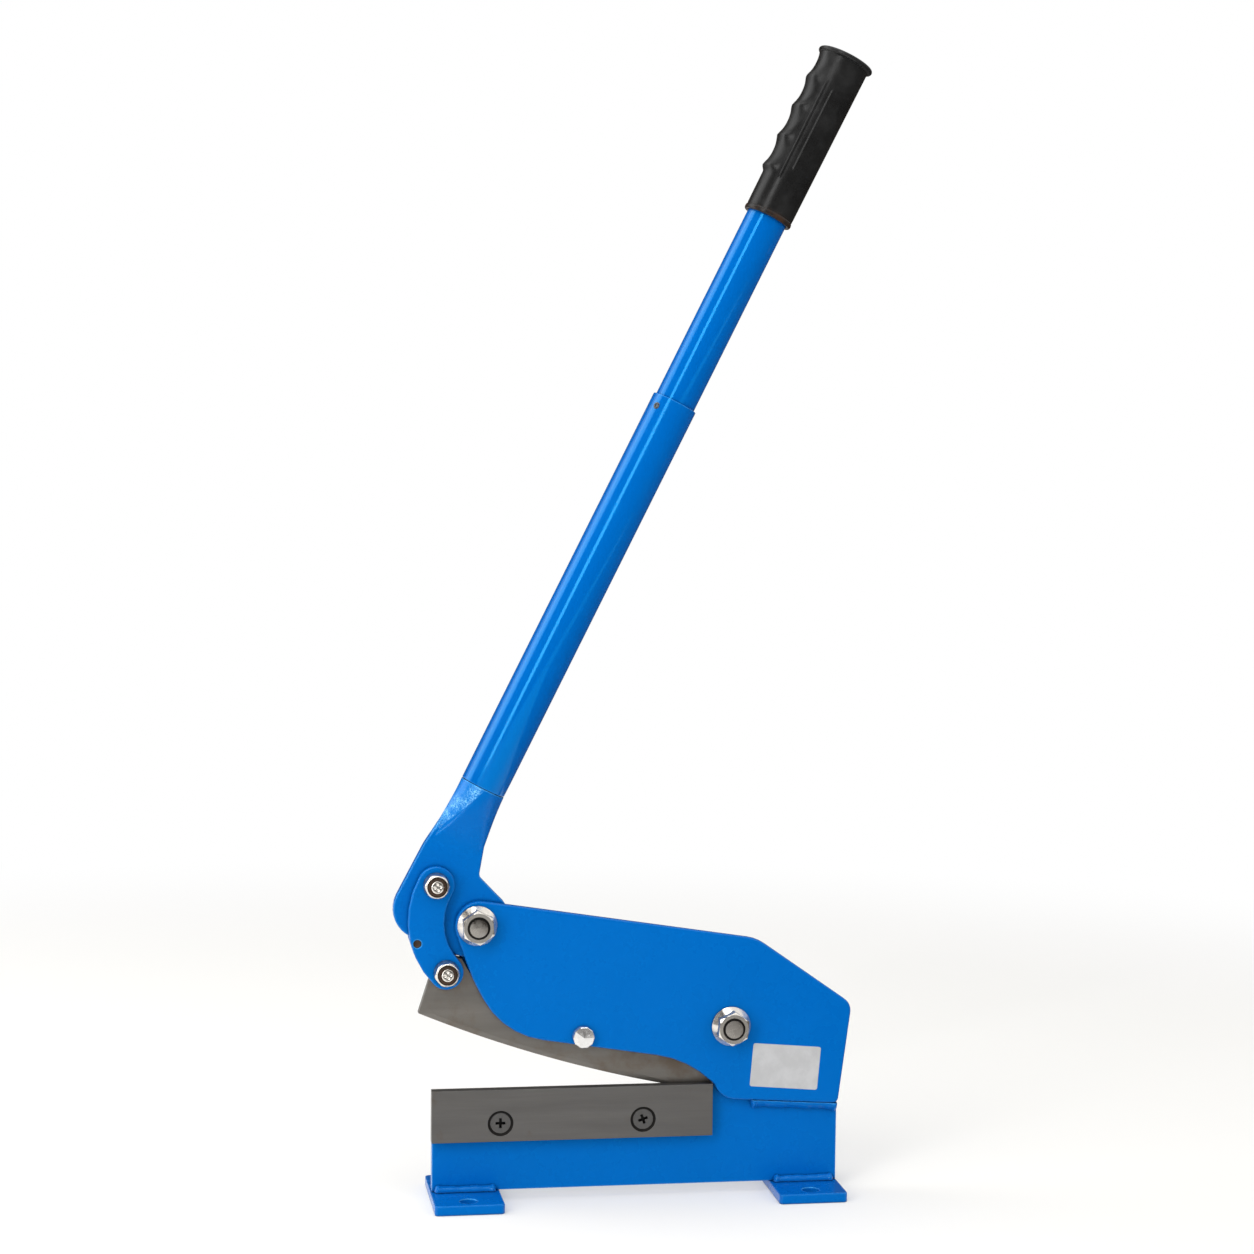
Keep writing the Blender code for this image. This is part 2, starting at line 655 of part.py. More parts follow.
def blade_screw_mesh():
    """A countersunk screw with a cross recess; z = 0 is the blade's front face."""
    face = -BLADE_SCREW_SINK
    clamped = LOWER_BLADE_THICKNESS + BASE_PLATE_THICKNESS + 2 * SEAT_GAP
    end = -(clamped + BLADE_NUT_HEIGHT + BLADE_SCREW_RADIUS / 2)
    profile = [(0, face), (BLADE_SCREW_HEAD_RADIUS, face)]
    profile += [(BLADE_SCREW_RADIUS, face - BLADE_SCREW_HEAD_DEPTH), (BLADE_SCREW_RADIUS, end), (0, end)]
    arms = []
    across = CROSS_RECESS_HALF * 2
    for size_x, size_y in ((across, CROSS_RECESS_WIDTH), (CROSS_RECESS_WIDTH, across)):
        depth = CROSS_RECESS_DEPTH + CUT_OVERRUN
        centre = (0, 0, face - CROSS_RECESS_DEPTH + depth / 2)
        arms.append(("DIFFERENCE", box_mesh("cross_arm", (size_x, size_y, depth), centre)))
    return merged_mesh("blade_screw", turned_mesh("screw_body", profile, ROUND_STEPS), arms)


# Outlines of the main plates


def base_outline():
    """The base plate: low under the blades, higher under the heel, with a tower between the side plates."""
    left = LEFT_END + BASE_PLATE_INSET
    right = RIGHT_END - BASE_PLATE_INSET / 2
    step = BLADE_RIGHT - SHELF_STEP_SETBACK
    bottom = FOOT_THICKNESS + SEAT_GAP
    tower_left = BLADE_PIVOT.x + PIVOT_LUG_RADIUS
    tower_top = BLADE_PIVOT.y - PIVOT_LUG_RADIUS - TOWER_GAP
    return rounded([
        (Vector((left, bottom)), 0),
        (Vector((right, bottom)), 0),
        (Vector((right, tower_top)), TOWER_CORNER_RADIUS),
        (Vector((tower_left, tower_top)), TOWER_CORNER_RADIUS),
        (Vector((tower_left, HEEL_SHELF)), BASE_CORNER_RADIUS),
        (Vector((step, HEEL_SHELF)), BASE_CORNER_RADIUS),
        (Vector((step, MOUTH_SHELF)), BASE_CORNER_RADIUS),
        (Vector((left, MOUTH_SHELF)), BASE_CORNER_RADIUS),
    ])


def plate_relief(offset_x, offset_z):
    """A corner of the side plate measured from the lower blade's top right corner."""
    return Vector((BLADE_RIGHT + offset_x, BLADE_TOP + offset_z))


def side_outline(drop, cheek_shift, relief, curve_share):
    """The side plate, from its nose round the lever pivot to its welded foot.

    The drop lowers its top edge, the shift fills its cheek towards the link, and its relief corners
    stand clear of the lower blade. The share tightens the curves of its lower edge.
    """
    nose = NOSE_RADIUS - drop / 2
    nose_corner = LEVER_PIVOT + nose * Vector(NOSE_CORNER_SHARES)
    throat = Vector((LEVER_PIVOT.x + PLATE_THROAT_SETBACK, BLADE_TOP + PLATE_THROAT_RISE))
    cheek = LEVER_PIVOT - Vector((PLATE_CHEEK_SETBACK + cheek_shift, PLATE_CHEEK_DROP))
    top_z = LEVER_PIVOT.y - PLATE_TOP_FALL - drop
    tail = Vector((RIGHT_END + PLATE_TAIL_OVERHANG, BLADE_PIVOT.y + PLATE_TAIL_RISE - drop))
    return rounded([
        (nose_corner, nose),
        (cheek, PLATE_CHEEK_RADIUS * curve_share),
        (throat, PLATE_THROAT_CURVE * curve_share),
        (plate_relief(-PLATE_RELIEF_FRONT, PLATE_RELIEF_RISE), PLATE_THROAT_RADIUS * curve_share),
        *[(plate_relief(*corner), radius) for corner, radius in relief],
        (Vector((RIGHT_END - PLATE_FOOT_INSET, PLATE_BOTTOM)), PLATE_FOOT_RADIUS),
        (tail, PLATE_TAIL_RADIUS),
        (Vector((BLADE_PIVOT.x + PLATE_TOP_OVERRUN, top_z)), PLATE_TOP_RADIUS),
    ])


def link_outline():
    """The curved link: two round ends joined by tangent arcs, hollow towards the lever pivot."""
    back = meeting(
        CRANK_PIN, LINK_BACK_RADIUS - LINK_TOP_RADIUS, BLADE_PIN, LINK_BACK_RADIUS - LINK_FOOT_RADIUS, 1
    )
    throat = meeting(
        CRANK_PIN, LINK_THROAT_RADIUS + LINK_TOP_RADIUS, BLADE_PIN, LINK_THROAT_RADIUS + LINK_FOOT_RADIUS, 1
    )

    def heading(start, end):
        return math.atan2(end.y - start.y, end.x - start.x)

    top_right = heading(CRANK_PIN, throat)
    top_left = heading(back, CRANK_PIN)
    foot_left = heading(back, BLADE_PIN) % math.tau
    foot_right = heading(BLADE_PIN, throat) + math.tau
    outline = arc(CRANK_PIN, LINK_TOP_RADIUS, top_right, top_left)
    outline += arc(back, LINK_BACK_RADIUS, top_left, foot_left)[1:]
    outline += arc(BLADE_PIN, LINK_FOOT_RADIUS, foot_left, foot_right)[1:]
    inner_start = heading(throat, BLADE_PIN) % math.tau
    inner_end = heading(throat, CRANK_PIN) % math.tau
    outline += arc(throat, LINK_THROAT_RADIUS, inner_start, inner_end)[1:-1]
    return outline


def blade_outline():
    """The upper blade: bowed cutting edge, a round lug at each pin and a stepped back."""
    lug = LINK_LUG_RADIUS
    outline = bowed(TIP, HEEL, CUTTING_EDGE_SAG, CUTTING_EDGE_POINTS)
    outline += arc(BLADE_PIVOT, PIVOT_LUG_RADIUS, PIVOT_LUG_START, PIVOT_LUG_END)
    shares = (*reversed(BACK_EDGE_SHARES), LINK_LUG_CORNER_SHARE)
    outline += [BLADE_PIN + lug * Vector(share) for share in shares]
    outline += arc(BLADE_PIN, lug, LINK_LUG_START, LINK_LUG_END)
    return outline


# Frame: feet, base plate, side plates and welds


def make_feet():
    """Two flat feet, each with a bolt hole in front of and behind the base plate."""
    half = Vector((FOOT_WIDTH / 2, FOOT_DEPTH / 2))
    signs = ((-1, -1), (1, -1), (1, 1), (-1, 1))
    corners = [(Vector((x * half.x, y * half.y)), FOOT_CORNER_RADIUS) for x, y in signs]
    hole_y = half.y - FOOT_HOLE_MARGIN
    holes = [(Vector((0, y)), FOOT_HOLE_RADIUS) for y in (-hole_y, hole_y)]
    mesh = flat_mesh("foot", rounded(corners), FOOT_THICKNESS, FOOT_EDGE_ROUND, holes)
    for name, x in (("left_foot", 0), ("right_foot", RIGHT_END - FOOT_WIDTH / 2)):
        place(name, mesh, BLUE_PAINT, transform=shifted(x=x, z=FOOT_THICKNESS / 2))


def make_base_plate():
    """The upright plate that the feet, side plates and lower blade are fixed to."""
    holes = [(Vector((x, SCREW_Z)), BLADE_SCREW_RADIUS + BORE_GAP) for x in SCREW_X]
    mesh = flat_mesh("base_plate", base_outline(), BASE_PLATE_THICKNESS, BASE_EDGE_ROUND, holes)
    plate("base_plate", mesh, 0, BLUE_PAINT)


def make_side_plates():
    """The front plate, with the guide screw's hole, and the lower rear plate."""
    middle = LAYER_FACE + SIDE_PLATE_THICKNESS / 2
    pivots = [(point, NUT_BORE) for point in (LEVER_PIVOT, BLADE_PIVOT)]
    guide = [(GUIDE, GUIDE_SCREW_RADIUS + BORE_GAP)]
    front_relief = [(PLATE_HEEL_CORNER, PLATE_HEEL_RADIUS), (PLATE_RELIEF_CORNER, PLATE_RELIEF_RADIUS)]
    rear_relief = [(REAR_RELIEF_CORNER, REAR_RELIEF_RADIUS)]
    front = side_outline(0, 0, front_relief, 1)
    rear = side_outline(REAR_PLATE_DROP, REAR_CHEEK_SHIFT, rear_relief, REAR_CURVE_SHARE)
    for name, outline, holes, y in (
        ("front_side_plate", front, pivots + guide, -middle),
        ("rear_side_plate", rear, pivots, middle),
    ):
        mesh = flat_mesh(name, outline, SIDE_PLATE_THICKNESS, PLATE_EDGE_ROUND, holes)
        plate(name, mesh, y, BLUE_PAINT)


def make_bead(name, start, end, first_leg, second_leg):
    """A rippled fillet weld from start to end; its legs lie along the two faces that it joins."""
    way = end - start
    count = max(4, round(way.length / BEAD_PITCH))
    bulge = (first_leg + second_leg) * BEAD_BULGE_SHARE
    rings = []
    for i in range(count + 1):
        ripple = 1 - BEAD_RIPPLE_SHARE * (i % 2)
        if i in (0, count):
            ripple = BEAD_END_SHARE
        corner = start + way * i / count
        rings.append([corner, *(corner + reach * ripple for reach in (first_leg, bulge, second_leg))])
    place(name, lofted_mesh(name, rings), BLUE_PAINT)


def make_welds():
    """Fillets between the feet and base plate, and under each side plate's foot."""
    floor = FOOT_THICKNESS + SEAT_GAP
    wall = BASE_FACE + SEAT_GAP
    reach = FOOT_WIDTH / 2 - BASE_PLATE_INSET - BEAD_FOOT_MARGIN
    for side, centre in (("left", 0), ("right", RIGHT_END - FOOT_WIDTH / 2)):
        for facing, y in (("front", -1), ("rear", 1)):
            start = Vector((centre - reach, y * wall, floor))
            end = Vector((centre + reach, y * wall, floor))
            legs = (Vector((0, y * FOOT_BEAD_LEG, 0)), Vector((0, 0, FOOT_BEAD_LEG)))
            make_bead(f"{side}_foot_weld_{facing}", start, end, *legs)
    foot_corner = Vector((RIGHT_END - PLATE_FOOT_INSET, PLATE_BOTTOM))
    left = BLADE_PIVOT.x + PLATE_BEAD_START
    right = RIGHT_END + PLATE_BEAD_OVERRUN
    for facing, y, relief_corner in (("front", -1, PLATE_RELIEF_CORNER), ("rear", 1, REAR_RELIEF_CORNER)):
        relief = plate_relief(*relief_corner)
        slope = (relief.y - foot_corner.y) / (foot_corner.x - relief.x)
        level = foot_corner.y - SEAT_GAP
        ends = [Vector((x, y * wall, level + slope * (foot_corner.x - x))) for x in (left, right)]
        legs = (Vector((0, y * PLATE_BEAD_LEG, 0)), Vector((0, 0, -PLATE_BEAD_LEG)))
        make_bead(f"side_plate_weld_{facing}", *ends, *legs)


# Blades


def make_lower_blade():
    """The straight lower blade and its two countersunk screws with nuts behind."""
    size = (CUTTING_LENGTH, LOWER_BLADE_THICKNESS, LOWER_BLADE_HEIGHT)
    front = -LAYER_FACE - LOWER_BLADE_THICKNESS
    middle_z = (BLADE_BOTTOM + BLADE_TOP) / 2
    seat = shifted(LEFT_END + CUTTING_LENGTH / 2, front + LOWER_BLADE_THICKNESS / 2, middle_z)
    blade = place("lower_blade", box_mesh("lower_blade", size, (0, 0, 0)), BLADE_STEEL, transform=seat)
    hole = BLADE_SCREW_RADIUS + BORE_GAP
    cone_depth = COUNTERSINK_RADIUS - hole
    sink = [(0, CUT_OVERRUN), (COUNTERSINK_RADIUS, CUT_OVERRUN), (COUNTERSINK_RADIUS, -BLADE_SCREW_SINK)]
    sink += [(hole, -BLADE_SCREW_SINK - cone_depth), (hole, -LOWER_BLADE_THICKNESS - CUT_OVERRUN)]
    sink += [(0, -LOWER_BLADE_THICKNESS - CUT_OVERRUN)]
    sink_mesh = turned_mesh("countersink", sink, ROUND_STEPS)
    screw_mesh = blade_screw_mesh()
    nut_mesh = plain_nut_mesh()
    for side, x, turn in (("left", SCREW_X[0], 0), ("right", SCREW_X[1], math.radians(20))):
        seat = shifted(x, front, SCREW_Z) @ FRONTWARDS
        combine(blade, cutter(f"countersink_{side}", sink_mesh, transform=seat), "DIFFERENCE")
        turned = seat @ Matrix.Rotation(turn, 4, "Z")
        place(f"lower_blade_screw_{side}", screw_mesh, DARK_STEEL, transform=turned)
        behind = shifted(x, BASE_FACE + SEAT_GAP, SCREW_Z) @ REARWARDS
        place(f"lower_blade_nut_{side}", nut_mesh, BRIGHT_ZINC, transform=behind)


def faceted_outline(outline):
    """The upper blade's front face: drawn in along its left end and along its cutting edge."""
    face = [point.copy() for point in outline]
    for i in range(CUTTING_EDGE_POINTS):
        along = (outline[i + 1] - outline[i]).normalized()
        fade = min(1, (CUTTING_EDGE_POINTS - i) / EDGE_FACET_FADE)
        face[i] += Vector((-along.y, along.x)) * EDGE_FACET_HEIGHT * fade
        if i == 0:
            face[i] += along * END_FACET_WIDTH
    end = (outline[-1] - outline[0]).normalized()
    face[-1] += Vector((end.y, -end.x)) * END_FACET_WIDTH * END_FACET_TOP_SHARE
    return face


def make_upper_blade(joint):
    """The curved upper blade with a round lug at each pin and shallow facets on its front."""
    to_joint = shifted(-BLADE_PIVOT.x, 0, -BLADE_PIVOT.y)
    holes = [(BLADE_PIVOT, PIVOT_BUSH_RADIUS + RUNNING_GAP), (BLADE_PIN, LINK_BORE)]
    outline = blade_outline()
    half = UPPER_BLADE_THICKNESS / 2
    layers = ((outline, -half), (outline, half - FACET_DEPTH), (faceted_outline(outline), half))
    rings = [[Vector((point.x, point.y, height)) for point in ring] for ring, height in layers]
    blank = lofted_mesh("upper_blade_blank", rings, triangles=True)
    mesh = drilled("upper_blade", blank, UPPER_BLADE_THICKNESS, holes)
    plate("upper_blade", mesh, UPPER_BLADE_Y, BLADE_STEEL, joint, to_joint)


# Lever head, tubes and grip, in the handle's frame: origin at the crank pin, +Z up the handle


def in_handle_frame(point):
    """A point of the frame's XZ plane as (across, along) the handle."""
    offset = point - CRANK_PIN
    across = offset.x * math.cos(HANDLE_LEAN) - offset.y * math.sin(HANDLE_LEAN)
    along = offset.x * math.sin(HANDLE_LEAN) + offset.y * math.cos(HANDLE_LEAN)
    return Vector((across, along))


def head_outline():
    """The lever head's flat part: a lobe round the crank pin running into the pivot hub."""
    hub = in_handle_frame(LEVER_PIVOT)
    waist = Vector((-LOBE_RADIUS * HEAD_WAIST_SHARES[0], LOBE_RADIUS * HEAD_WAIST_SHARES[1]))
    lobe_bottom = -LOBE_DROP - LOBE_RADIUS
    return rounded([
        (Vector((-SLAB_TOP_HALF, SLAB_REACH)), 0),
        (waist, LOBE_RADIUS * 2),
        (Vector((-LOBE_RADIUS, lobe_bottom)), LOBE_RADIUS),
        (Vector((LOBE_RADIUS / 4, lobe_bottom)), LOBE_RADIUS / 2),
        (Vector((LOBE_NECK[0], lobe_bottom + LOBE_NECK[1])), HUB_HEEL_RADIUS),
        (hub + HUB_RADIUS * Vector(HUB_HEEL_SHARES), HUB_HEEL_RADIUS),
        *[(point, 0) for point in arc(hub, HUB_RADIUS, HUB_START, HUB_END)],
        (hub + HUB_RADIUS * Vector(HEAD_SHOULDER_SHARES), HEAD_SHOULDER_RADIUS),
        (Vector((SLAB_TOP_HALF, SLAB_REACH)), 0),
    ])


def neck_rings():
    """Sections that turn the flat head into the round seat of the tube.

    To the right of a crease the front stays flat; to its left it slants off towards the edge.
    """
    rings = []
    flat = LEVER_HEAD_THICKNESS / 2 - NECK_INSET / 2
    top = SEAM_REACH - SEAM_GAP
    bottom_width = NECK_SPREAD - NECK_INSET
    for i in range(NECK_RINGS + 1):
        share = i / NECK_RINGS
        eased = share * share * (3 - 2 * share)
        flare = (1 - share) ** NECK_FLARE_POWER
        half_width = OUTER_TUBE_RADIUS + (bottom_width - OUTER_TUBE_RADIUS) * flare
        half_depth = flat + (OUTER_TUBE_RADIUS - flat) * eased
        square = 2 / (2 + (NECK_SQUARENESS - 2) * (1 - eased) ** 2)
        slant = 2 / (2 - NECK_SLANT * math.sin(math.pi * share))
        crease = -half_width * NECK_CREASE_SHARE * (1 - share) ** NECK_CREASE_POWER
        shift = NECK_SHIFT * (1 - share)
        height = NECK_START + (top - NECK_START) * share
        ring = []
        for k in range(NECK_POINTS):
            turn = math.tau * k / NECK_POINTS
            power = square if math.cos(turn) > 0 else slant
            reach = half_width - crease if math.cos(turn) > 0 else half_width + crease
            x = crease + reach * math.copysign(abs(math.cos(turn)) ** power, math.cos(turn))
            y = half_depth * math.copysign(abs(math.sin(turn)) ** power, math.sin(turn))
            ring.append(Vector((shift + x, y, height)))
        rings.append(ring)
    return rings


def make_lever_head(axis):
    """The forged lever head: hub, crank lobe, neck, and the spigot that enters the tube."""
    hub = in_handle_frame(LEVER_PIVOT)
    holes = [(hub, PIVOT_BUSH_RADIUS + RUNNING_GAP)]
    slab = flat_mesh("lever_head", head_outline(), LEVER_HEAD_THICKNESS, HEAD_EDGE_ROUND, holes)
    head = place("lever_head", slab, BLUE_PAINT, axis, FRONTWARDS)
    combine(head, cutter("lever_head_neck", lofted_mesh("neck", neck_rings()), axis), "UNION")
    spigot_radius = OUTER_TUBE_RADIUS - OUTER_TUBE_WALL - TUBE_SLIDE_GAP
    root = SEAM_REACH - SPIGOT_LENGTH / 4
    spigot = rod_mesh("spigot", spigot_radius, root, SEAM_REACH + SPIGOT_LENGTH, TUBE_STEPS, TUBE_EDGE)
    combine(head, cutter("lever_head_spigot", spigot, axis), "UNION")
    inward = hub.normalized()
    side = Vector((-inward.y, inward.x))
    wide = LINK_PIN_NECK_RADIUS + LINK_PIN_SIDE_PLAY + RUNNING_GAP
    start = math.atan2(side.y, side.x)
    slot = arc(Vector((0, 0)), wide, start, start + math.pi)
    slot += arc(inward * LINK_PIN_SWING, wide, start + math.pi, start + math.tau)
    slot_mesh = flat_mesh("crank_slot", slot, LEVER_HEAD_THICKNESS + 2 * CUT_OVERRUN)
    combine(head, cutter("lever_head_slot", slot_mesh, axis, FRONTWARDS), "DIFFERENCE")


def lock_screw_seat():
    """The frame of the lock screw: +Z points out through the tube wall."""
    height = SEAM_REACH + OUTER_TUBE_LENGTH - LOCK_SCREW_MARGIN
    out = Matrix.Rotation(LOCK_SCREW_TURN, 4, "Z") @ Matrix.Rotation(math.pi / 2, 4, "Y")
    return shifted(z=height) @ out


def make_handle(axis):
    """The outer tube over the head's spigot, and the inner tube that slides into it."""
    outer_top = SEAM_REACH + OUTER_TUBE_LENGTH
    outer_size = (OUTER_TUBE_RADIUS, OUTER_TUBE_RADIUS - OUTER_TUBE_WALL, SEAM_REACH, outer_top)
    outer = sleeve_mesh("outer_tube", *outer_size, TUBE_STEPS, TUBE_EDGE)
    outer_tube = place("outer_tube", outer, BLUE_PAINT, axis)
    inner_bore = INNER_TUBE_RADIUS - INNER_TUBE_WALL
    low = outer_top - INNER_TUBE_ENGAGED
    high = outer_top + INNER_TUBE_SHOWN + GRIP_LENGTH - GRIP_END_WALL - SEAT_GAP
    inner = sleeve_mesh("inner_tube", INNER_TUBE_RADIUS, inner_bore, low, high, TUBE_STEPS, TUBE_EDGE)
    inner_tube = place("inner_tube", inner, BLUE_PAINT, axis)
    seat = lock_screw_seat()
    tap_reach = OUTER_TUBE_RADIUS + CUT_OVERRUN
    tap = rod_mesh("lock_tap", LOCK_SCREW_RADIUS + BORE_GAP, 0, tap_reach, SCREW_STEPS)
    for tube, name in ((outer_tube, "outer_tube_tap"), (inner_tube, "inner_tube_tap")):
        combine(tube, cutter(name, tap, axis, seat), "DIFFERENCE")
    top = OUTER_TUBE_RADIUS - TUBE_EDGE
    screw = rod_mesh("lock_screw", LOCK_SCREW_RADIUS, top - LOCK_SCREW_LENGTH, top, SCREW_STEPS, TUBE_EDGE)
    socket = hex_mesh("lock_socket", LOCK_SCREW_SOCKET * 2, top - LOCK_SCREW_SOCKET, top + CUT_OVERRUN)
    socketed = merged_mesh("tube_lock_screw", screw, [("DIFFERENCE", socket)])
    place("tube_lock_screw", socketed, DARK_STEEL, axis, seat)


def grip_radius(turn, height):
    """The grip's outer radius: wider upwards, with finger crests on the side away from the blades."""
    fingers = max(0, -math.cos(turn)) ** 0.8
    phase = (height - GRIP_FIRST_CREST) / GRIP_CREST_PITCH
    wave = 0
    if -0.5 <= phase <= GRIP_CREST_COUNT - 0.5:
        wave = GRIP_CREST * (0.5 + 0.5 * math.cos(math.tau * phase)) ** 2
    return GRIP_RADIUS + GRIP_SPREAD * height / GRIP_LENGTH + wave * fingers


def grip_rings():
    """Rings up the grip: a rolled lip, the finger crests, and a flat end flange."""
    flange_low = GRIP_LENGTH - GRIP_FLANGE_THICKNESS
    edge = GRIP_LIP / 2
    rows = [(0, GRIP_LIP - edge), (edge, GRIP_LIP)]
    rows += [(GRIP_LIP_LENGTH - edge, GRIP_LIP), (GRIP_LIP_LENGTH, 0)]
    step = GRIP_CREST_PITCH / GRIP_RINGS_PER_CREST
    crest_low = GRIP_FIRST_CREST - GRIP_CREST_PITCH / 2
    rows += [(crest_low + step * i, 0) for i in range(GRIP_CREST_COUNT * GRIP_RINGS_PER_CREST + 1)]
    rows = [row for row in rows if row[0] < flange_low - edge] + [(flange_low - edge, 0)]
    rings = []
    for height, extra in rows:
        turns = [math.tau * k / GRIP_POINTS for k in range(GRIP_POINTS)]
        radii = [grip_radius(turn, height) + extra for turn in turns]
        rings.append([Vector((r * math.cos(t), r * math.sin(t), height)) for r, t in zip(radii, turns)])
    for height, radius in (
        (flange_low, GRIP_FLANGE_RADIUS - edge),
        (flange_low + edge, GRIP_FLANGE_RADIUS),
        (GRIP_LENGTH - edge, GRIP_FLANGE_RADIUS),
        (GRIP_LENGTH, GRIP_FLANGE_RADIUS - edge),
    ):
        turns = [math.tau * k / GRIP_POINTS for k in range(GRIP_POINTS)]
        rings.append([Vector((radius * math.cos(t), radius * math.sin(t), height)) for t in turns])
    return rings


def make_grip(axis):
    """The rubber grip, blind at its top, pushed over the inner tube."""
    base = SEAM_REACH + OUTER_TUBE_LENGTH + INNER_TUBE_SHOWN
    grip = place("grip", lofted_mesh("grip", grip_rings()), RUBBER, axis, shifted(z=base))
    blind = GRIP_LENGTH - GRIP_END_WALL
    bore = rod_mesh("grip_bore", INNER_TUBE_RADIUS + SEAT_GAP, -CUT_OVERRUN, blind, TUBE_STEPS)
    combine(grip, cutter("grip_bore", bore, axis, shifted(z=base)), "DIFFERENCE")


# Links and pivots


def make_links(joint):
    """The front and rear links; only the front one has the small hole near its bulge."""
    middle = LAYER_FACE + LINK_THICKNESS / 2
    pins = [(point, LINK_BORE) for point in (CRANK_PIN, BLADE_PIN)]
    drain = [(CRANK_PIN + Vector(LINK_DRAIN_OFFSET), LINK_DRAIN_RADIUS)]
    to_joint = shifted(-BLADE_PIN.x, 0, -BLADE_PIN.y)
    for name, holes, y in (("front_link", pins + drain, -middle), ("rear_link", pins, middle)):
        mesh = flat_mesh(name, link_outline(), LINK_THICKNESS, LINK_EDGE_ROUND, holes)
        plate(name, mesh, y, BLUE_PAINT, joint, to_joint)
    stack = 2 * (LINK_FACE + SEAT_GAP)
    length = stack + LOCK_NUT_HEX_HEIGHT + LOCK_NUT_COLLAR + LINK_BOLT_PROUD
    sizes = (LINK_HEAD_FLATS, LINK_HEAD_HEIGHT, LINK_BOLT_RADIUS, length)
    seat_y = LINK_FACE + SEAT_GAP
    neck = (LINK_PIN_NECK_RADIUS, seat_y - LAYER_FACE, seat_y + LAYER_FACE)
    nut = lock_nut_mesh()
    for name, point, turn, bolt in (
        ("crank", CRANK_PIN, 0, hex_bolt_mesh("link_bolt_crank", *sizes, neck)),
        ("blade", BLADE_PIN, math.radians(9), hex_bolt_mesh("link_bolt_blade", *sizes)),
    ):
        seat = to_joint @ shifted(point.x, 0, point.y)
        facing = seat @ shifted(y=-seat_y) @ FRONTWARDS @ Matrix.Rotation(turn, 4, "Z")
        place(f"link_bolt_{name}", bolt, BRIGHT_ZINC, joint, seat @ shifted(y=seat_y) @ REARWARDS)
        place(f"link_nut_{name}", nut, BRIGHT_ZINC, joint, facing)


def make_pivots():
    """The lever and blade pivots: a bush between the side plates, a bolt from behind and a flange nut."""
    length = 2 * (PLATE_FACE + SEAT_GAP) + FLANGE_NUT_HEIGHT + PIVOT_BOLT_PROUD
    bolt = hex_bolt_mesh("pivot_bolt", PIVOT_HEAD_FLATS, PIVOT_HEAD_HEIGHT, PIVOT_BOLT_RADIUS, length)
    nut = flange_nut_mesh()
    bush_half = LAYER_FACE - SEAT_GAP
    bush_size = (PIVOT_BUSH_RADIUS, NUT_BORE, -bush_half, bush_half)
    bush = sleeve_mesh("pivot_bush", *bush_size, ROUND_STEPS, TUBE_EDGE)
    seat_y = PLATE_FACE + SEAT_GAP
    for name, point, turn in (
        ("lever", LEVER_PIVOT, math.radians(5)),
        ("blade", BLADE_PIVOT, math.radians(-3)),
    ):
        seat = shifted(point.x, 0, point.y)
        facing = seat @ shifted(y=-seat_y) @ FRONTWARDS @ Matrix.Rotation(turn, 4, "Z")
        place(f"{name}_pivot_bush", bush, BUSH_STEEL, transform=seat @ FRONTWARDS)
        place(f"{name}_pivot_bolt", bolt, BRIGHT_ZINC, transform=seat @ shifted(y=seat_y) @ REARWARDS)
        place(f"{name}_pivot_nut", nut, BRIGHT_ZINC, transform=facing)


def make_guide_screw():
    """The bright screw on the front plate's lower edge, whose tip steadies the upper blade."""
    seat = shifted(GUIDE.x, -PLATE_FACE - SEAT_GAP, GUIDE.y) @ FRONTWARDS
    place("guide_screw", guide_screw_mesh(), BRIGHT_ZINC, transform=seat)


def main():
    """Builds the whole shear at rest, with its handle raised."""
    lever_joint = joint_empty("lever_joint", LEVER_PIVOT)
    blade_joint = joint_empty("blade_joint", BLADE_PIVOT)
    link_joint = joint_empty("link_joint", BLADE_PIN - BLADE_PIVOT, blade_joint)
    handle_axis = joint_empty("handle_axis", CRANK_PIN - LEVER_PIVOT, lever_joint, HANDLE_LEAN)
    make_feet()
    make_base_plate()
    make_side_plates()
    make_welds()
    make_lower_blade()
    make_upper_blade(blade_joint)
    make_lever_head(handle_axis)
    make_handle(handle_axis)
    make_grip(handle_axis)
    make_links(link_joint)
    make_pivots()
    make_guide_screw()


main()
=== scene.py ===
"""Finishes, small parts, light and camera for the bench plate shear.

Every object is in metres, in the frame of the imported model: +Z is up, +X runs along the blades and
+Y to the rear. The handle is raised and the mouth between the blades is open.
"""

from __future__ import annotations

import logging
import math
from dataclasses import dataclass, field
from enum import Enum
from typing import Callable, Iterable, Sequence

import bmesh
import bpy
from mathutils import Matrix, Vector


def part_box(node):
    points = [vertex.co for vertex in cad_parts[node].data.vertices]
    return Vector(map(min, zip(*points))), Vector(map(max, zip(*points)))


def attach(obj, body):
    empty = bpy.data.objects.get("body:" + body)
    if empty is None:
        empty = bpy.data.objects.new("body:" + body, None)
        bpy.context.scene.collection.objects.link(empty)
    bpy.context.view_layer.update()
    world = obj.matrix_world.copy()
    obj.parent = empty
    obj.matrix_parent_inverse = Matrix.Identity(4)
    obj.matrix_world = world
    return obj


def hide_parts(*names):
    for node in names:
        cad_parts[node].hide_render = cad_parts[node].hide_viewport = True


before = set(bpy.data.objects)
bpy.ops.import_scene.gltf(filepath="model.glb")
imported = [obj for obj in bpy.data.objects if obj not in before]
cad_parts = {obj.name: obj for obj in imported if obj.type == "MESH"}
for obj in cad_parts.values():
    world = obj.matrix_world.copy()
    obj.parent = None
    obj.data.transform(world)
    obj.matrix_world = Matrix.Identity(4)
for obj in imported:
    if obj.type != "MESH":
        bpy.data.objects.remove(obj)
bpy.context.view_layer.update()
LOG = logging.getLogger("bench_plate_shear")
MERGE_REACH = 0.00001
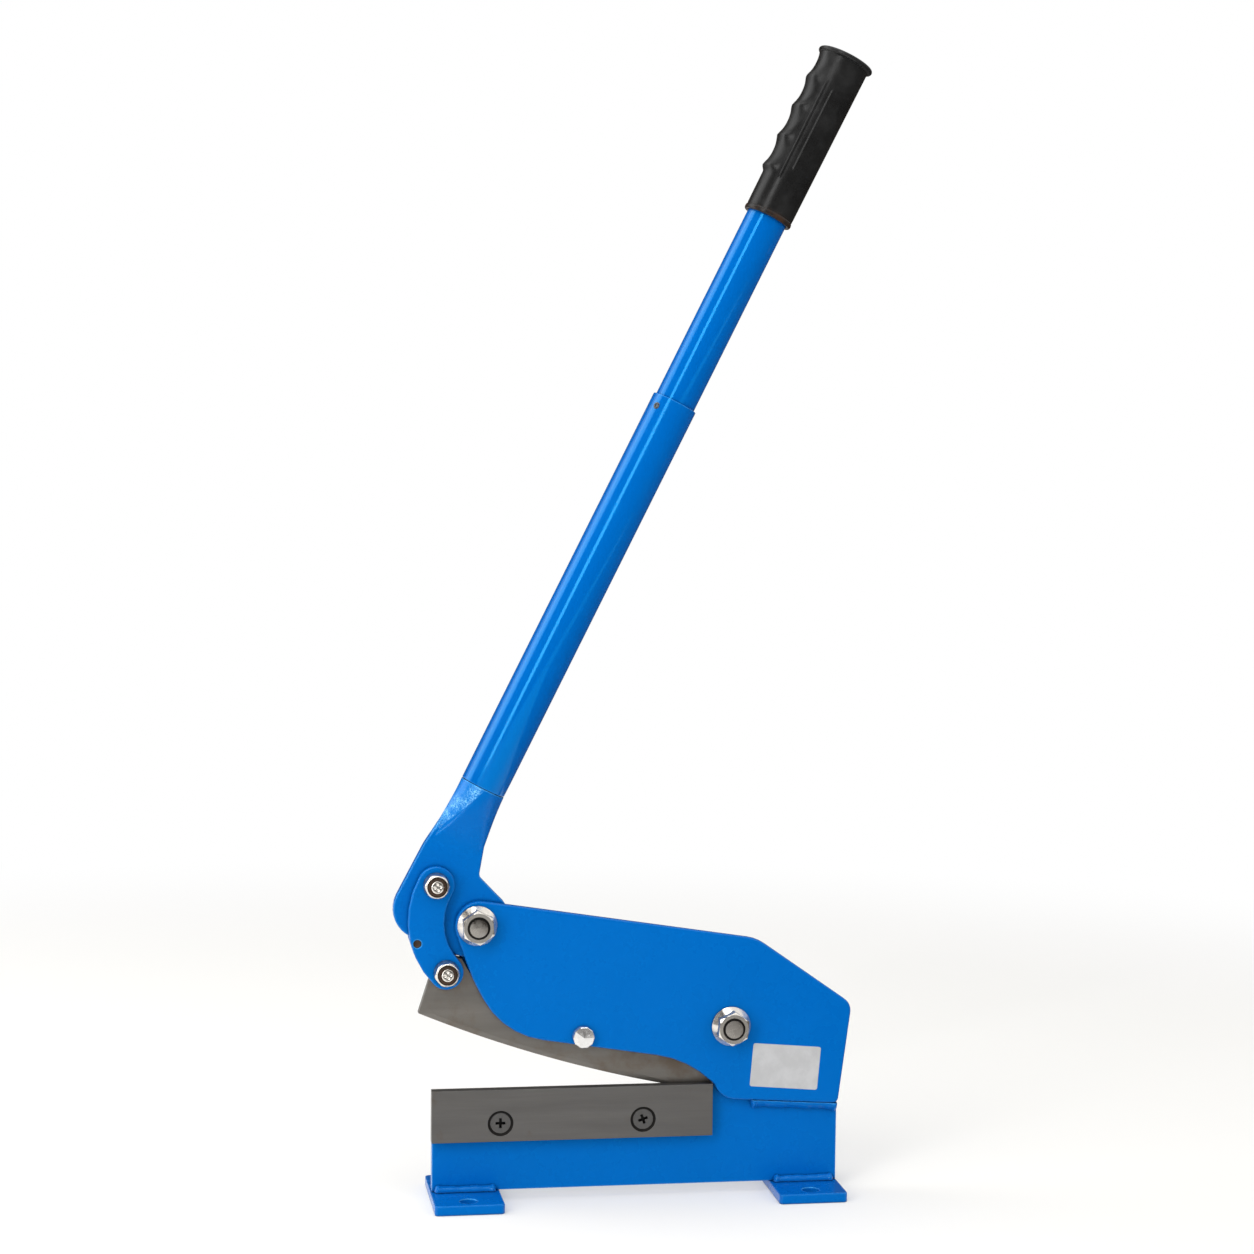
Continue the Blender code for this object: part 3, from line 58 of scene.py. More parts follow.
FRONTWARDS = Matrix.Rotation(math.pi / 2, 4, "X")
UPWARDS = Vector((0, 0, 1))
IN_FRAME = Matrix.Identity(4)
WHITE = (1.0, 1.0, 1.0, 1.0)

Socket = bpy.types.NodeSocket
NodeTree = bpy.types.NodeTree
Material = bpy.types.Material
Colour = tuple[float, float, float]
Profile = tuple[tuple[float, float], ...]


class Body(Enum):
    """The bodies that pieces ride on."""

    FRAME = "frame"
    LEVER = "lever"
    LINKS = "links"


class Slot(Enum):
    """The record's material slots."""

    PAINT = "blue_paint"
    LEVER_PAINT = "lever_paint"
    TUBE_PAINT = "tube_paint"
    LOWER_STEEL = "lower_blade_steel"
    UPPER_STEEL = "upper_blade_steel"
    ZINC = "bright_zinc"
    BOLT_END = "bolt_end_steel"
    TURNED = "turned_bright_steel"
    DARK_STEEL = "dark_screw_steel"
    BUSH = "bush_steel"
    RUBBER = "black_rubber"


# Node graphs


class Graph:
    """Adds nodes to one node tree and joins them."""

    def __init__(self, tree: NodeTree) -> None:
        """Keeps the tree that nodes go into."""
        self.tree = tree

    def add(self, kind: str, values: dict | None = None, **settings: object) -> bpy.types.Node:
        """Adds a node.

        Args:
            kind: The node's type name.
            values: Input name or number to a constant or to the socket that feeds it.
            settings: The node's own properties.

        Returns:
            The new node.
        """
        node = self.tree.nodes.new(kind)
        for name, value in settings.items():
            setattr(node, name, value)
        self.feed(node, values or {})
        return node

    def feed(self, node: bpy.types.Node, values: dict) -> None:
        """Links sockets to a node's inputs, or sets their constants.

        Args:
            node: The node.
            values: Input name or number to a constant or to the socket that feeds it.
        """
        for name, value in values.items():
            if isinstance(value, Socket):
                self.tree.links.new(value, node.inputs[name])
            else:
                node.inputs[name].default_value = value

    def maths(self, operation: str, *values: object, clamp: bool = False) -> Socket:
        """The result of a Math node."""
        inputs = dict(enumerate(values))
        return self.add("ShaderNodeMath", inputs, operation=operation, use_clamp=clamp).outputs[0]

    def times(self, first: object, second: object) -> Socket:
        """The product of two values."""
        return self.maths("MULTIPLY", first, second)

    def mapped(self, value: object, *ends: float, way: str = "SMOOTHSTEP") -> Socket:
        """A value carried from one range to another, or to 0 to 1, and held at the ends."""
        inputs = dict(enumerate((value, *ends, 0.0, 1.0)[:5]))
        return self.add("ShaderNodeMapRange", inputs, interpolation_type=way).outputs[0]

    def blend(self, share: object, *colours: object) -> Socket:
        """A colour mixed from two by a share.

        Args:
            share: The second colour's share, a number or a socket.
            colours: Two colours, each plain or a socket.

        Returns:
            The mixed colour.
        """
        first, second = (each if isinstance(each, Socket) else (*each, 1.0) for each in colours)
        inputs = {0: share, 6: first, 7: second}
        return self.add("ShaderNodeMix", inputs, data_type="RGBA").outputs[2]

    def tinted(self, base: Socket, mask: Socket, share: float, colour: Colour) -> Socket:
        """A colour under another that covers it where a mask is, up to a share."""
        return self.blend(self.times(mask, share), base, colour)

    def shades(self, share: Socket, colour: Colour, dark: float, light: float) -> Socket:
        """A colour that goes from its darker to its lighter shade."""
        return self.blend(share, shade_of(colour, dark), shade_of(colour, light))

    def spread(self, mask: Socket, middle: float, reach: tuple[float, float]) -> Socket:
        """A value that a mask carries from below to above a middle one."""
        return self.mapped(mask, 0.0, 1.0, middle + reach[0], middle + reach[1])

    def noise(self, vector: Socket, scale: object, detail: float, roughness: float) -> Socket:
        """The value of a noise texture."""
        inputs = {"Vector": vector, "Scale": scale, "Detail": detail, "Roughness": roughness}
        return self.add("ShaderNodeTexNoise", inputs).outputs[0]

    def place(self) -> Socket:
        """The point on the surface, in the object's own coordinates."""
        return self.add("ShaderNodeTexCoord").outputs["Object"]

    def normal(self, kind: str = "Normal") -> Socket:
        """The surface's normal, or its True Normal without the smooth shading."""
        return self.add("ShaderNodeNewGeometry").outputs[kind]

    def rounded(self, radius: object, samples: int) -> Socket:
        """The normal of a surface whose edges are rounded."""
        return self.add("ShaderNodeBevel", {"Radius": radius}, samples=samples).outputs[0]

    def vectors(self, operation: str, *values: object) -> bpy.types.Node:
        """A Vector Math node."""
        return self.add("ShaderNodeVectorMath", dict(enumerate(values)), operation=operation)

    def part(self, vector: Socket, axis: int) -> Socket:
        """One of a vector's three parts."""
        return self.add("ShaderNodeSeparateXYZ", {0: vector}).outputs[axis]

    def joined(self, *parts: Socket) -> Socket:
        """A vector made of three parts."""
        return self.add("ShaderNodeCombineXYZ", dict(enumerate(parts))).outputs[0]

    def raised(self, height: Socket, strength: float, distance: float, **under: Socket) -> Socket:
        """The normal that a height gives through a Bump node, over another Normal if given."""
        inputs = {"Height": height, "Strength": strength, "Distance": distance, **under}
        return self.add("ShaderNodeBump", inputs).outputs["Normal"]

    def effect(self, group: NodeTree, **values: object) -> bpy.types.bpy_prop_collection:
        """Places a shared effect with its named inputs and gives its outputs."""
        inputs = {name.capitalize(): value for name, value in values.items()}
        return self.add("ShaderNodeGroup", inputs, node_tree=group).outputs

    def mask(self, group: NodeTree, **values: object) -> Socket:
        """The mask that a shared effect gives."""
        return self.effect(group, **values)["Mask"]


class Effects:
    """The shader node groups that more than one finish uses."""

    tone_scale = 14.0
    edge_turn = (0.995, 0.86)
    band_scale = (9.0, 90.0, 90.0)
    stain_top, stain_reach, stain_contrast = 0.72, 0.4, 5.0
    smudge_levels = (0.38, 0.68)
    shelter_levels = (0.78, 0.30)
    pit_levels = (0.75, 1.2)

    def __init__(self) -> None:
        """Builds each group once."""
        relief, mask = ("Height", "Tone"), ("Mask",)
        self.peel = self.group("paint_skin", self.fill_peel, relief, Scale=700.0)
        self.edge = self.group("edge_line", self.fill_edge, mask, Radius=0.0008)
        scales = {"Along": 30.0, "Across": 1400.0}
        self.ground = self.group("ground_grain", self.fill_ground, relief, **scales)
        self.stain = self.group("stain", self.fill_stain, mask, Scale=40.0, Cover=0.5)
        self.smudge = self.group("smudge", self.fill_smudge, mask, Scale=60.0)
        self.cast = self.group("cast_skin", self.fill_cast, relief, Scale=500.0)
        self.corner_shade = self.group("corner_shade", self.fill_corner_shade, mask, Reach=0.003)

    def group(self, name: str, fill: Callable, outputs: Iterable[str], **inputs: float) -> NodeTree:
        """Makes one group.

        Args:
            name: The group's name.
            fill: The method that fills it and returns a value for each output.
            outputs: Output names.
            inputs: Input names and their first values.

        Returns:
            The node group.
        """
        tree = bpy.data.node_groups.new(name, "ShaderNodeTree")
        sockets = [(title, "INPUT") for title in inputs] + [(title, "OUTPUT") for title in outputs]
        for title, way in sockets:
            kind = "NodeSocketFloat"
            socket = tree.interface.new_socket(name=title, in_out=way, socket_type=kind)
            socket.default_value = inputs.get(title, 0.0)
        graph = Graph(tree)
        entry = graph.add("NodeGroupInput")
        results = fill(graph, *[entry.outputs[title] for title in inputs])
        graph.add("NodeGroupOutput", dict(zip(outputs, results)))
        return tree

    def fill_peel(self, graph: Graph, scale: Socket) -> tuple[Socket, Socket]:
        """Fine orange peel in sprayed paint and slow changes in its tone."""
        place = graph.place()
        return graph.noise(place, scale, 2.0, 0.45), graph.noise(place, self.tone_scale, 3.0, 0.5)

    def fill_edge(self, graph: Graph, radius: Socket) -> tuple[Socket]:
        """A mask that is 1 along rounded and sharp edges."""
        same = graph.vectors("DOT_PRODUCT", graph.rounded(radius, 6), graph.normal())
        return (graph.mapped(same.outputs["Value"], *self.edge_turn),)

    def fill_ground(self, graph: Graph, along: Socket, across: Socket) -> tuple[Socket, Socket]:
        """Fine parallel grinding lines along X.

        Args:
            graph: The group's graph.
            along: How fine the lines are along X.
            across: How fine they are across it.

        Returns:
            The lines and, slower, the bands of their tone.
        """
        scales = graph.joined(along, across, across), self.band_scale
        places = [graph.vectors("MULTIPLY", graph.place(), scale).outputs[0] for scale in scales]
        return graph.noise(places[0], 1.0, 3.0, 0.6), graph.noise(places[1], 1.0, 3.0, 0.55)

    def fill_stain(self, graph: Graph, scale: Socket, cover: Socket) -> tuple[Socket]:
        """Cloudy stains; more cover spreads them further.

        Args:
            graph: The group's graph.
            scale: How fine the clouds are.
            cover: How far they spread.

        Returns:
            The mask.
        """
        cloud = graph.noise(graph.place(), scale, 5.0, 0.62)
        low = graph.maths("SUBTRACT", self.stain_top, graph.times(cover, self.stain_reach))
        above = graph.maths("SUBTRACT", cloud, low)
        return (graph.maths("MULTIPLY", above, self.stain_contrast, clamp=True),)

    def fill_smudge(self, graph: Graph, scale: Socket) -> tuple[Socket]:
        """Soft patches where hands or cloths left the gloss uneven."""
        return (graph.mapped(graph.noise(graph.place(), scale, 4.0, 0.6), *self.smudge_levels),)

    def fill_corner_shade(self, graph: Graph, reach: Socket) -> tuple[Socket]:
        """A mask that is 1 deep in corners and narrow gaps, for painted shade there."""
        shelter = graph.add("ShaderNodeAmbientOcclusion", {"Distance": reach}, samples=6)
        return (graph.mapped(shelter.outputs["AO"], *self.shelter_levels),)

    def fill_cast(self, graph: Graph, scale: Socket) -> tuple[Socket, Socket]:
        """The pitted skin of a casting under paint.

        Args:
            graph: The group's graph.
            scale: How fine the pits are.

        Returns:
            The skin's height, and a tone from it that places painted glints.
        """
        place = graph.place()
        inputs = {"Vector": place, "Scale": scale, "Randomness": 1.0}
        cells = graph.add("ShaderNodeTexVoronoi", inputs, feature="SMOOTH_F1").outputs["Distance"]
        rough = graph.noise(place, graph.times(scale, 1.7), 4.0, 0.6)
        height = graph.maths("ADD", cells, rough)
        return height, graph.mapped(height, *self.pit_levels)


# Finishes


def shade_of(colour: Colour, factor: float) -> Colour:
    """A colour made lighter or darker by a factor."""
    return tuple(part * factor for part in colour)


class Finish:
    """A finish: its name, and what feeds each socket of its Principled shader."""

    name: str

    def build(self, effects: Effects | None = None) -> Material:
        """Makes the finish's material.

        Args:
            effects: The shared effects.

        Returns:
            The material.
        """
        material = bpy.data.materials.new(self.name)
        material.use_nodes = True
        graph = Graph(material.node_tree)
        shader = material.node_tree.nodes["Principled BSDF"]
        graph.feed(shader, self.surface(graph, effects))
        return material

    def surface(self, graph: Graph, effects: Effects | None) -> dict[str, object]:
        """What feeds the shader's sockets: nothing, on a plain finish."""
        return {}


@dataclass(frozen=True)
class Paint(Finish):
    """Sprayed blue paint; a rough one lies over a casting."""

    name: str
    roughness: float = 0.30
    gloss: float = 0.45
    tint: Colour = (0.03, 0.62, 1.0)
    coat: tuple[float, float] = (0.02, 0.22)
    coat_roughness: float = 0.14
    coat_turn: tuple[float, float] = (0.985, 0.90)
    peel: float = 0.05
    peel_scale: float = 900.0
    peel_depth: float = 0.0002
    shades: tuple[float, float] = (0.95, 1.05)
    smudge_scale: float = 55.0
    smudge_spread: tuple[float, float] = (-0.04, 0.05)
    rounding: float = 0.0016
    edge_width: float = 0.0016
    highlight_share: float = 0.85
    edge_shine: float = 0.30
    corner_shade_reach: float = 0.004
    corner_shade_share: float = 0.75
    colour: Colour = (0.0, 0.130, 0.505)
    # Painted highlight colour along edges, then painted shade colour in corners and gaps.
    highlight_colour: Colour = (0.09, 0.46, 0.95)
    corner_shade_colour: Colour = (0.0, 0.028, 0.15)
    cast: bool = False
    # Painted light on the neck's slanted face: a lighter tint over it.
    lit_facet_colour: Colour = (0.01, 0.25, 0.76)
    lit_facet_share: float = 0.35
    cast_scale: float = 1150.0
    cast_height: float = 6.0
    cast_edge: tuple[float, float] = (-0.0002, 0.0010)
    cast_fade: tuple[float, float] = (0.0130, 0.0060)
    crease_power: float = 1.15
    seam_blur: float = 0.001
    patch_scale: float = 110.0
    patch_levels: tuple[float, float, float, float] = (0.40, 0.60, 0.25, 1.0)
    # Painted glints on the pits near the crease.
    glint_colour: Colour = (0.24, 0.60, 0.95)
    glint_share: float = 0.9

    def surface(self, graph: Graph, effects: Effects) -> dict[str, object]:
        """Paint with a painted highlight on its edges and painted shade in its corners, over edges
        that its normal rounds.

        Args:
            graph: The material's graph.
            effects: The shared effects.

        Returns:
            What feeds the shader's sockets.
        """
        skin = graph.effect(effects.peel, scale=self.peel_scale)
        edge = graph.mask(effects.edge, radius=self.edge_width)
        # Painted shade: corners and narrow gaps darken towards a deep blue.
        painted_gap_shade = graph.mask(effects.corner_shade, reach=self.corner_shade_reach)
        smudge = graph.mask(effects.smudge, scale=self.smudge_scale)
        tone, height = graph.shades(skin["Tone"], self.colour, *self.shades), skin["Height"]
        if self.cast:
            tone, height = self.cast_patch(graph, effects, tone, height)
        # Painted highlight: edges turn pale cyan, and the Metallic below makes them shine.
        tone = graph.tinted(tone, edge, self.highlight_share, self.highlight_colour)
        normal = graph.rounded(self.rounding, 8) if self.rounding else graph.normal()
        flat = graph.maths("ABSOLUTE", graph.part(normal, 1))
        return {
            "Base Color": graph.tinted(tone, painted_gap_shade, self.corner_shade_share, self.corner_shade_colour),
            "Metallic": graph.times(edge, self.edge_shine),
            "Roughness": graph.spread(smudge, self.roughness, self.smudge_spread),
            "Normal": graph.raised(height, self.peel, self.peel_depth, Normal=normal),
            "Coat Weight": graph.mapped(flat, *self.coat_turn, *self.coat),
            "Coat Roughness": self.coat_roughness,
            "Specular IOR Level": self.gloss,
            "Specular Tint": (*self.tint, 1.0),
        }

    def cast_patch(
        self, graph: Graph, effects: Effects, tone: Socket, height: Socket
    ) -> tuple[Socket, Socket]:
        """Adds the pitted skin on the neck's slanted face, left of its crease: the face painted
        lighter, as lit, with painted glints on pits near the crease.

        Args:
            graph: The material's graph.
            effects: The shared effects.
            tone: The paint's colour so far.
            height: The paint's height so far.

        Returns:
            The new colour and height.
        """
        lever = LeverSizes()
        low, high = lever.crease_low, lever.crease_high
        inputs = {0: graph.place(), 1: lever.crank_pin, 2: (0.0, lever.lean, 0.0)}
        own = graph.add("ShaderNodeMapping", inputs, vector_type="TEXTURE").outputs[0]
        across, _, along = graph.add("ShaderNodeSeparateXYZ", {0: own}).outputs
        rest = graph.mapped(along, low, high, 1.0, 0.0, way="LINEAR")
        crease = graph.times(graph.maths("POWER", rest, self.crease_power), -lever.crease_spread)
        aside = graph.maths("SUBTRACT", crease, across)
        below_seam = graph.mapped(along, high + self.seam_blur, high - self.seam_blur)
        region = graph.times(graph.mapped(aside, *self.cast_edge), below_seam)
        skin = graph.effect(effects.cast, scale=self.cast_scale)
        cloud = graph.noise(graph.place(), self.patch_scale, 3.0, 0.6)
        patchy = graph.mapped(cloud, *self.patch_levels)
        near = graph.times(graph.mapped(aside, *self.cast_fade), patchy)
        # Painted light: the slanted face is tinted lighter, as where it catches the lamps, and pits
        # near the crease get painted glints.
        glint_speckle = graph.times(graph.times(skin["Tone"], region), near)
        lit = graph.tinted(tone, region, self.lit_facet_share, self.lit_facet_colour)
        rough = graph.times(graph.times(skin["Height"], region), self.cast_height)
        colour = graph.tinted(lit, glint_speckle, self.glint_share, self.glint_colour)
        return colour, graph.maths("ADD", height, rough)


@dataclass(frozen=True)
class GroundSteel(Finish):
    """Blade steel with grinding lines and brown stains."""

    name: str
    colour: Colour
    stain_colour: Colour
    stain_cover: float
    along: float
    across: float = 1500.0
    roughness: float = 0.46
    stain_spread: tuple[float, float] = (-0.06, 0.10)
    metallic: float = 0.75
    relief: tuple[float, float] = (0.40, 0.00008)
    band_shades: tuple[float, float] = (0.60, 1.42)
    line_shades: tuple[float, float] = (0.8, 1.2)
    line_share: float = 0.35
    stain_scale: float = 38.0
    stain_share: float = 0.65
    wear_width: float = 0.0006
    wear_shade: float = 1.6
    wear_share: float = 0.35
    corner_shade_reach: float = 0.005
    corner_shade_factor: float = 0.15
    corner_shade_share: float = 0.45

    def surface(self, graph: Graph, effects: Effects) -> dict[str, object]:
        """Bands and fine lines under stains, with worn edges and painted shade in corners.

        Args:
            graph: The material's graph.
            effects: The shared effects.

        Returns:
            What feeds the shader's sockets.
        """
        grain = graph.effect(effects.ground, along=self.along, across=self.across)
        stain = graph.mask(effects.stain, scale=self.stain_scale, cover=self.stain_cover)
        edge = graph.mask(effects.edge, radius=self.wear_width)
        painted_gap_shade = graph.mask(effects.corner_shade, reach=self.corner_shade_reach)
        bands = graph.shades(grain["Tone"], self.colour, *self.band_shades)
        lines = graph.shades(grain["Height"], self.colour, *self.line_shades)
        base = graph.blend(self.line_share, bands, lines)
        stained = graph.tinted(base, stain, self.stain_share, self.stain_colour)
        bright = shade_of(self.colour, self.wear_shade)
        worn = graph.tinted(stained, edge, self.wear_share, bright)
        # Painted shade: corners and narrow gaps darken towards a deep brown.
        dark = shade_of(self.stain_colour, self.corner_shade_factor)
        return {
            "Base Color": graph.tinted(worn, painted_gap_shade, self.corner_shade_share, dark),
            "Roughness": graph.spread(stain, self.roughness, self.stain_spread),
            "Normal": graph.raised(grain["Height"], *self.relief),
            "Metallic": self.metallic,
        }


@dataclass(frozen=True)
class BareMetal(Finish):
    """Plated, turned or blackened steel of the small parts, with painted shade: dark in corners,
    black behind a given depth, and some faces darker by the way they face.
    """

    name: str
    colour: Colour
    roughness: float
    metallic: float = 1.0
    grime: Colour = (0.16, 0.12, 0.09)
    grime_share: float = 0.25
    # Painted shade in corners and gaps, painted black in recesses, and faces painted darker by the
    # way they face.
    corner_shade_colour: Colour = (0.045, 0.026, 0.016)
    corner_shade_share: float = 0.85
    corner_shade_reach: float = 0.0022
    shaded_behind: float = 0.0
    shade_fade: float = 0.0004
    shade_black: Colour = (0.004, 0.004, 0.004)
    painted_front_shade: float = 1.0
    front_turn: tuple[float, float] = (0.97, 0.995)
    side_turn: tuple[float, float] = (0.20, 0.42)
    painted_side_shade: float = 0.50
    shades: tuple[float, float] = (0.9, 1.05)
    smudge_scale: float = 320.0
    smudge_shares: tuple[float, float] = (0.8, 1.35)
    stain_scale: float = 260.0
    stain_cover: float = 0.35
    skin_scale: float = 2600.0
    relief: tuple[float, float] = (0.03, 0.00005)

    def surface(self, graph: Graph, effects: Effects) -> dict[str, object]:
        """Smudged metal with grime and painted shade in corners, and where asked, painted shade on
        faces by the way they face and black in recesses.

        Args:
            graph: The material's graph.
            effects: The shared effects.

        Returns:
            What feeds the shader's sockets.
        """
        smudge = graph.mask(effects.smudge, scale=self.smudge_scale)
        stain = graph.mask(effects.stain, scale=self.stain_scale, cover=self.stain_cover)
        # Painted shade: corners and narrow gaps darken towards dark brown.
        painted_gap_shade = graph.mask(effects.corner_shade, reach=self.corner_shade_reach)
        skin = graph.effect(effects.peel, scale=self.skin_scale)
        tone = graph.shades(smudge, self.colour, *self.shades)
        dirty = graph.tinted(tone, stain, self.grime_share, self.grime)
        colour = graph.tinted(dirty, painted_gap_shade, self.corner_shade_share, self.corner_shade_colour)
        # Painted shade: faces that look to the front, and those that look sideways, are darkened by
        # the way they face.
        if self.painted_front_shade < 1.0:
            facing = graph.maths("ABSOLUTE", graph.part(graph.normal("True Normal"), 1))
            front = graph.mapped(facing, *self.front_turn, 1.0, self.painted_front_shade)
            side = graph.mapped(facing, *self.side_turn, self.painted_side_shade, 1.0)
            level = graph.times(front, side)
            colour = graph.vectors("MULTIPLY", colour, graph.joined(level, level, level)).outputs[0]
        # Painted shade: everything deeper than the given depth, in recesses and sunk heads, turns
        # black.
        if self.shaded_behind:
            depth = graph.part(graph.place(), 1)
            deep = graph.mapped(depth, self.shaded_behind, self.shaded_behind + self.shade_fade)
            colour = graph.blend(deep, colour, self.shade_black)
        low, high = (self.roughness * share for share in self.smudge_shares)
        return {
            "Base Color": colour,
            "Roughness": graph.mapped(smudge, 0.0, 1.0, low, high),
            "Normal": graph.raised(skin["Height"], *self.relief),
            "Metallic": self.metallic,
        }


@dataclass(frozen=True)
class Moulded(Finish):
    """Moulded rubber or nylon with a fine grain; its open end may be rust-stained."""

    name: str
    colour: Colour
    roughness: float
    gloss: float = 0.30
    grain: float = 1500.0
    relief: tuple[float, float] = (0.12, 0.0001)
    bloom: float = 0.25
    smudge_scale: float = 45.0
    smudge_spread: tuple[float, float] = (-0.06, 0.08)
    stained_end: float = 0.0
    stained_core: float = 0.2
    rust: Colour = (0.050, 0.024, 0.012)
    rust_scale: float = 160.0
    rust_cover: float = 0.75

    def surface(self, graph: Graph, effects: Effects) -> dict[str, object]:
        """Grained, faintly blooming rubber.

        Args:
            graph: The material's graph.
            effects: The shared effects.

        Returns:
            What feeds the shader's sockets.
        """
        skin = graph.effect(effects.peel, scale=self.grain)
        smudge = graph.mask(effects.smudge, scale=self.smudge_scale)
        tone = graph.shades(smudge, self.colour, 1 - self.bloom, 1 + self.bloom)
        if self.stained_end:
            along = graph.part(graph.place(), 2)
            end = graph.mapped(along, self.stained_end, self.stained_end * self.stained_core)
            patchy = graph.mask(effects.stain, scale=self.rust_scale, cover=self.rust_cover)
            tone = graph.blend(graph.times(end, patchy), tone, self.rust)
        return {
            "Base Color": tone,
            "Roughness": graph.spread(smudge, self.roughness, self.smudge_spread),
            "Normal": graph.raised(skin["Height"], *self.relief),
            "Specular IOR Level": self.gloss,
        }


@dataclass(frozen=True)
class LabelFoil(Finish):
    """The silver foil of the blank sticker."""

    name: str = "label_foil"
    colour: Colour = (0.56, 0.56, 0.56)
    shades: tuple[float, float] = (0.95, 1.08)
    roughness: tuple[float, float] = (0.42, 0.52)
    metallic: float = 0.15
    gloss: float = 0.25
    grain: float = 1800.0
    relief: tuple[float, float] = (0.06, 0.00005)
    smudge_scale: float = 70.0

    def surface(self, graph: Graph, effects: Effects) -> dict[str, object]:
        """Smudged satin foil.

        Args:
            graph: The material's graph.
            effects: The shared effects.

        Returns:
            What feeds the shader's sockets.
        """
        skin = graph.effect(effects.peel, scale=self.grain)
        smudge = graph.mask(effects.smudge, scale=self.smudge_scale)
        return {
            "Base Color": graph.shades(smudge, self.colour, *self.shades),
            "Roughness": graph.mapped(smudge, 0.0, 1.0, *self.roughness),
            "Normal": graph.raised(skin["Height"], *self.relief),
            "Metallic": self.metallic,
            "Specular IOR Level": self.gloss,
        }


@dataclass(frozen=True)
class DarkCloth(Finish):
    """The matt dark cloth round the lever."""

    name: str = "dark_screen_finish"
    colour: Colour = (0.060, 0.050, 0.042)

    def surface(self, graph: Graph, effects: Effects | None) -> dict[str, object]:
        """One plain dark colour without gloss."""
        return {"Base Color": (*self.colour, 1.0), "Specular IOR Level": 0.0}


class Finishes:
    """All the finishes' materials, built once, by slot and by name."""

    # Behind this depth the dark screws are painted black, as shade in their recesses.
    recess_depth = -0.0117

    def __init__(self) -> None:
        """Builds each material."""
        lower = (0.134, 0.129, 0.123), (0.12, 0.085, 0.055), 0.30
        upper = (0.190, 0.178, 0.160), (0.16, 0.115, 0.075), 0.55
        zinc, bolt_end, turned_steel = (0.90, 0.85, 0.78), (0.36, 0.34, 0.315), (0.86, 0.85, 0.83)
        dark, rubber = (0.125, 0.122, 0.118), (0.0140, 0.0140, 0.0140)
        finishes = {
            Slot.PAINT: Paint("blue_paint_finish"),
            Slot.LEVER_PAINT: Paint("lever_paint_finish", cast=True),
            Slot.TUBE_PAINT: Paint(
                "tube_paint_finish", roughness=0.12, gloss=0.9, coat=(0.0, 0.10),
                coat_roughness=0.06, peel=0.004, rounding=0.0, edge_shine=0.0,
            ),
            Slot.LOWER_STEEL: GroundSteel("lower_blade_finish", *lower, along=26.0),
            Slot.UPPER_STEEL: GroundSteel("upper_blade_finish", *upper, along=44.0),
            # The zinc's faces that look to the front or sideways are painted darker, as shade.
            Slot.ZINC: BareMetal("bright_zinc_finish", zinc, 0.17, 0.88, painted_front_shade=0.34),
            Slot.BOLT_END: BareMetal("bolt_end_finish", bolt_end, 0.34, grime_share=0.6),
            Slot.TURNED: BareMetal("turned_finish", turned_steel, 0.17, 0.8, grime_share=0.1),
            Slot.DARK_STEEL: BareMetal(
                "dark_screw_finish", dark, 0.45, 0.8, shaded_behind=self.recess_depth
            ),
            Slot.BUSH: BareMetal("bush_finish", (0.36, 0.35, 0.33), 0.40),
            Slot.RUBBER: Moulded("black_rubber_finish", rubber, 0.33, 0.24, stained_end=0.006),
        }
        others = (
            Moulded("nylon_ring_finish", (0.050, 0.027, 0.016), 0.45, grain=2500.0),
            # A near-black finish painted as shade in the nuts' mouths and round the screws' heads.
            Moulded("thread_and_gap_shade_finish", (0.010, 0.009, 0.008), 0.55, gloss=0.1),
            BareMetal("lock_screw_finish", (0.10, 0.11, 0.12), 0.30),
            Paint("cover_paint_finish", rounding=0.0, highlight_share=0.0, edge_shine=0.0),
            LabelFoil(),
        )
        effects = Effects()
        self.by_slot = {slot: finish.build(effects) for slot, finish in finishes.items()}
        built = (finish.build(effects) for finish in others)
        self.nylon, self.shade_black, self.blackened, self.cover, self.label = built


# Meshes and seats


def lofted(name: str, rings: Sequence, capped: bool, angle: float) -> bpy.types.Mesh:
    """A smooth-shaded skin over closed rings with equal numbers of points.

    Args:
        name: The mesh's name.
        rings: The rings, in order.
        capped: Whether the first and last ring are filled; otherwise the last joins the first.
        angle: Edges sharper than this, in degrees, stay sharp.

    Returns:
        The mesh.
    """
    size, count = len(rings[0]), len(rings)
    pairs = [(row, (row + 1) % count) for row in range(count - 1 if capped else count)]
    faces = [
        (low * size + i, low * size + (i + 1) % size, high * size + (i + 1) % size, high * size + i)
        for low, high in pairs
        for i in range(size)
    ]
    if capped:
        faces.append(tuple(reversed(range(size))))
        faces.append(tuple(range((count - 1) * size, count * size)))
    mesh = bpy.data.meshes.new(name)
    mesh.from_pydata([tuple(point) for ring in rings for point in ring], [], faces)
    form = bmesh.new()
    form.from_mesh(mesh)
    bmesh.ops.remove_doubles(form, verts=form.verts, dist=MERGE_REACH)
    bmesh.ops.recalc_face_normals(form, faces=form.faces)
    form.to_mesh(mesh)
    form.free()
    mesh.shade_smooth()
    mesh.set_sharp_from_angle(angle=math.radians(angle))
    return mesh


def ring_at(height: Callable | float, radius: Callable | float, steps: int) -> list[Vector]:
    """A ring of points about Z.

    Args:
        height: Its height, or a function of a point's radius that gives it.
        radius: Its radius, or a function of a point's angle that gives it.
        steps: How many points it has.

    Returns:
        The points.
    """
    points = []
    for turn in (math.tau * k / steps for k in range(steps)):
        reach = radius(turn) if callable(radius) else radius
        rise = height(reach) if callable(height) else height
        points.append(Vector((reach * math.cos(turn), reach * math.sin(turn), rise)))
    return points


def turned(profile: Iterable[tuple], steps: int) -> list[list[Vector]]:
    """Rings for a profile of radii and heights."""
    return [ring_at(height, radius, steps) for radius, height in profile]


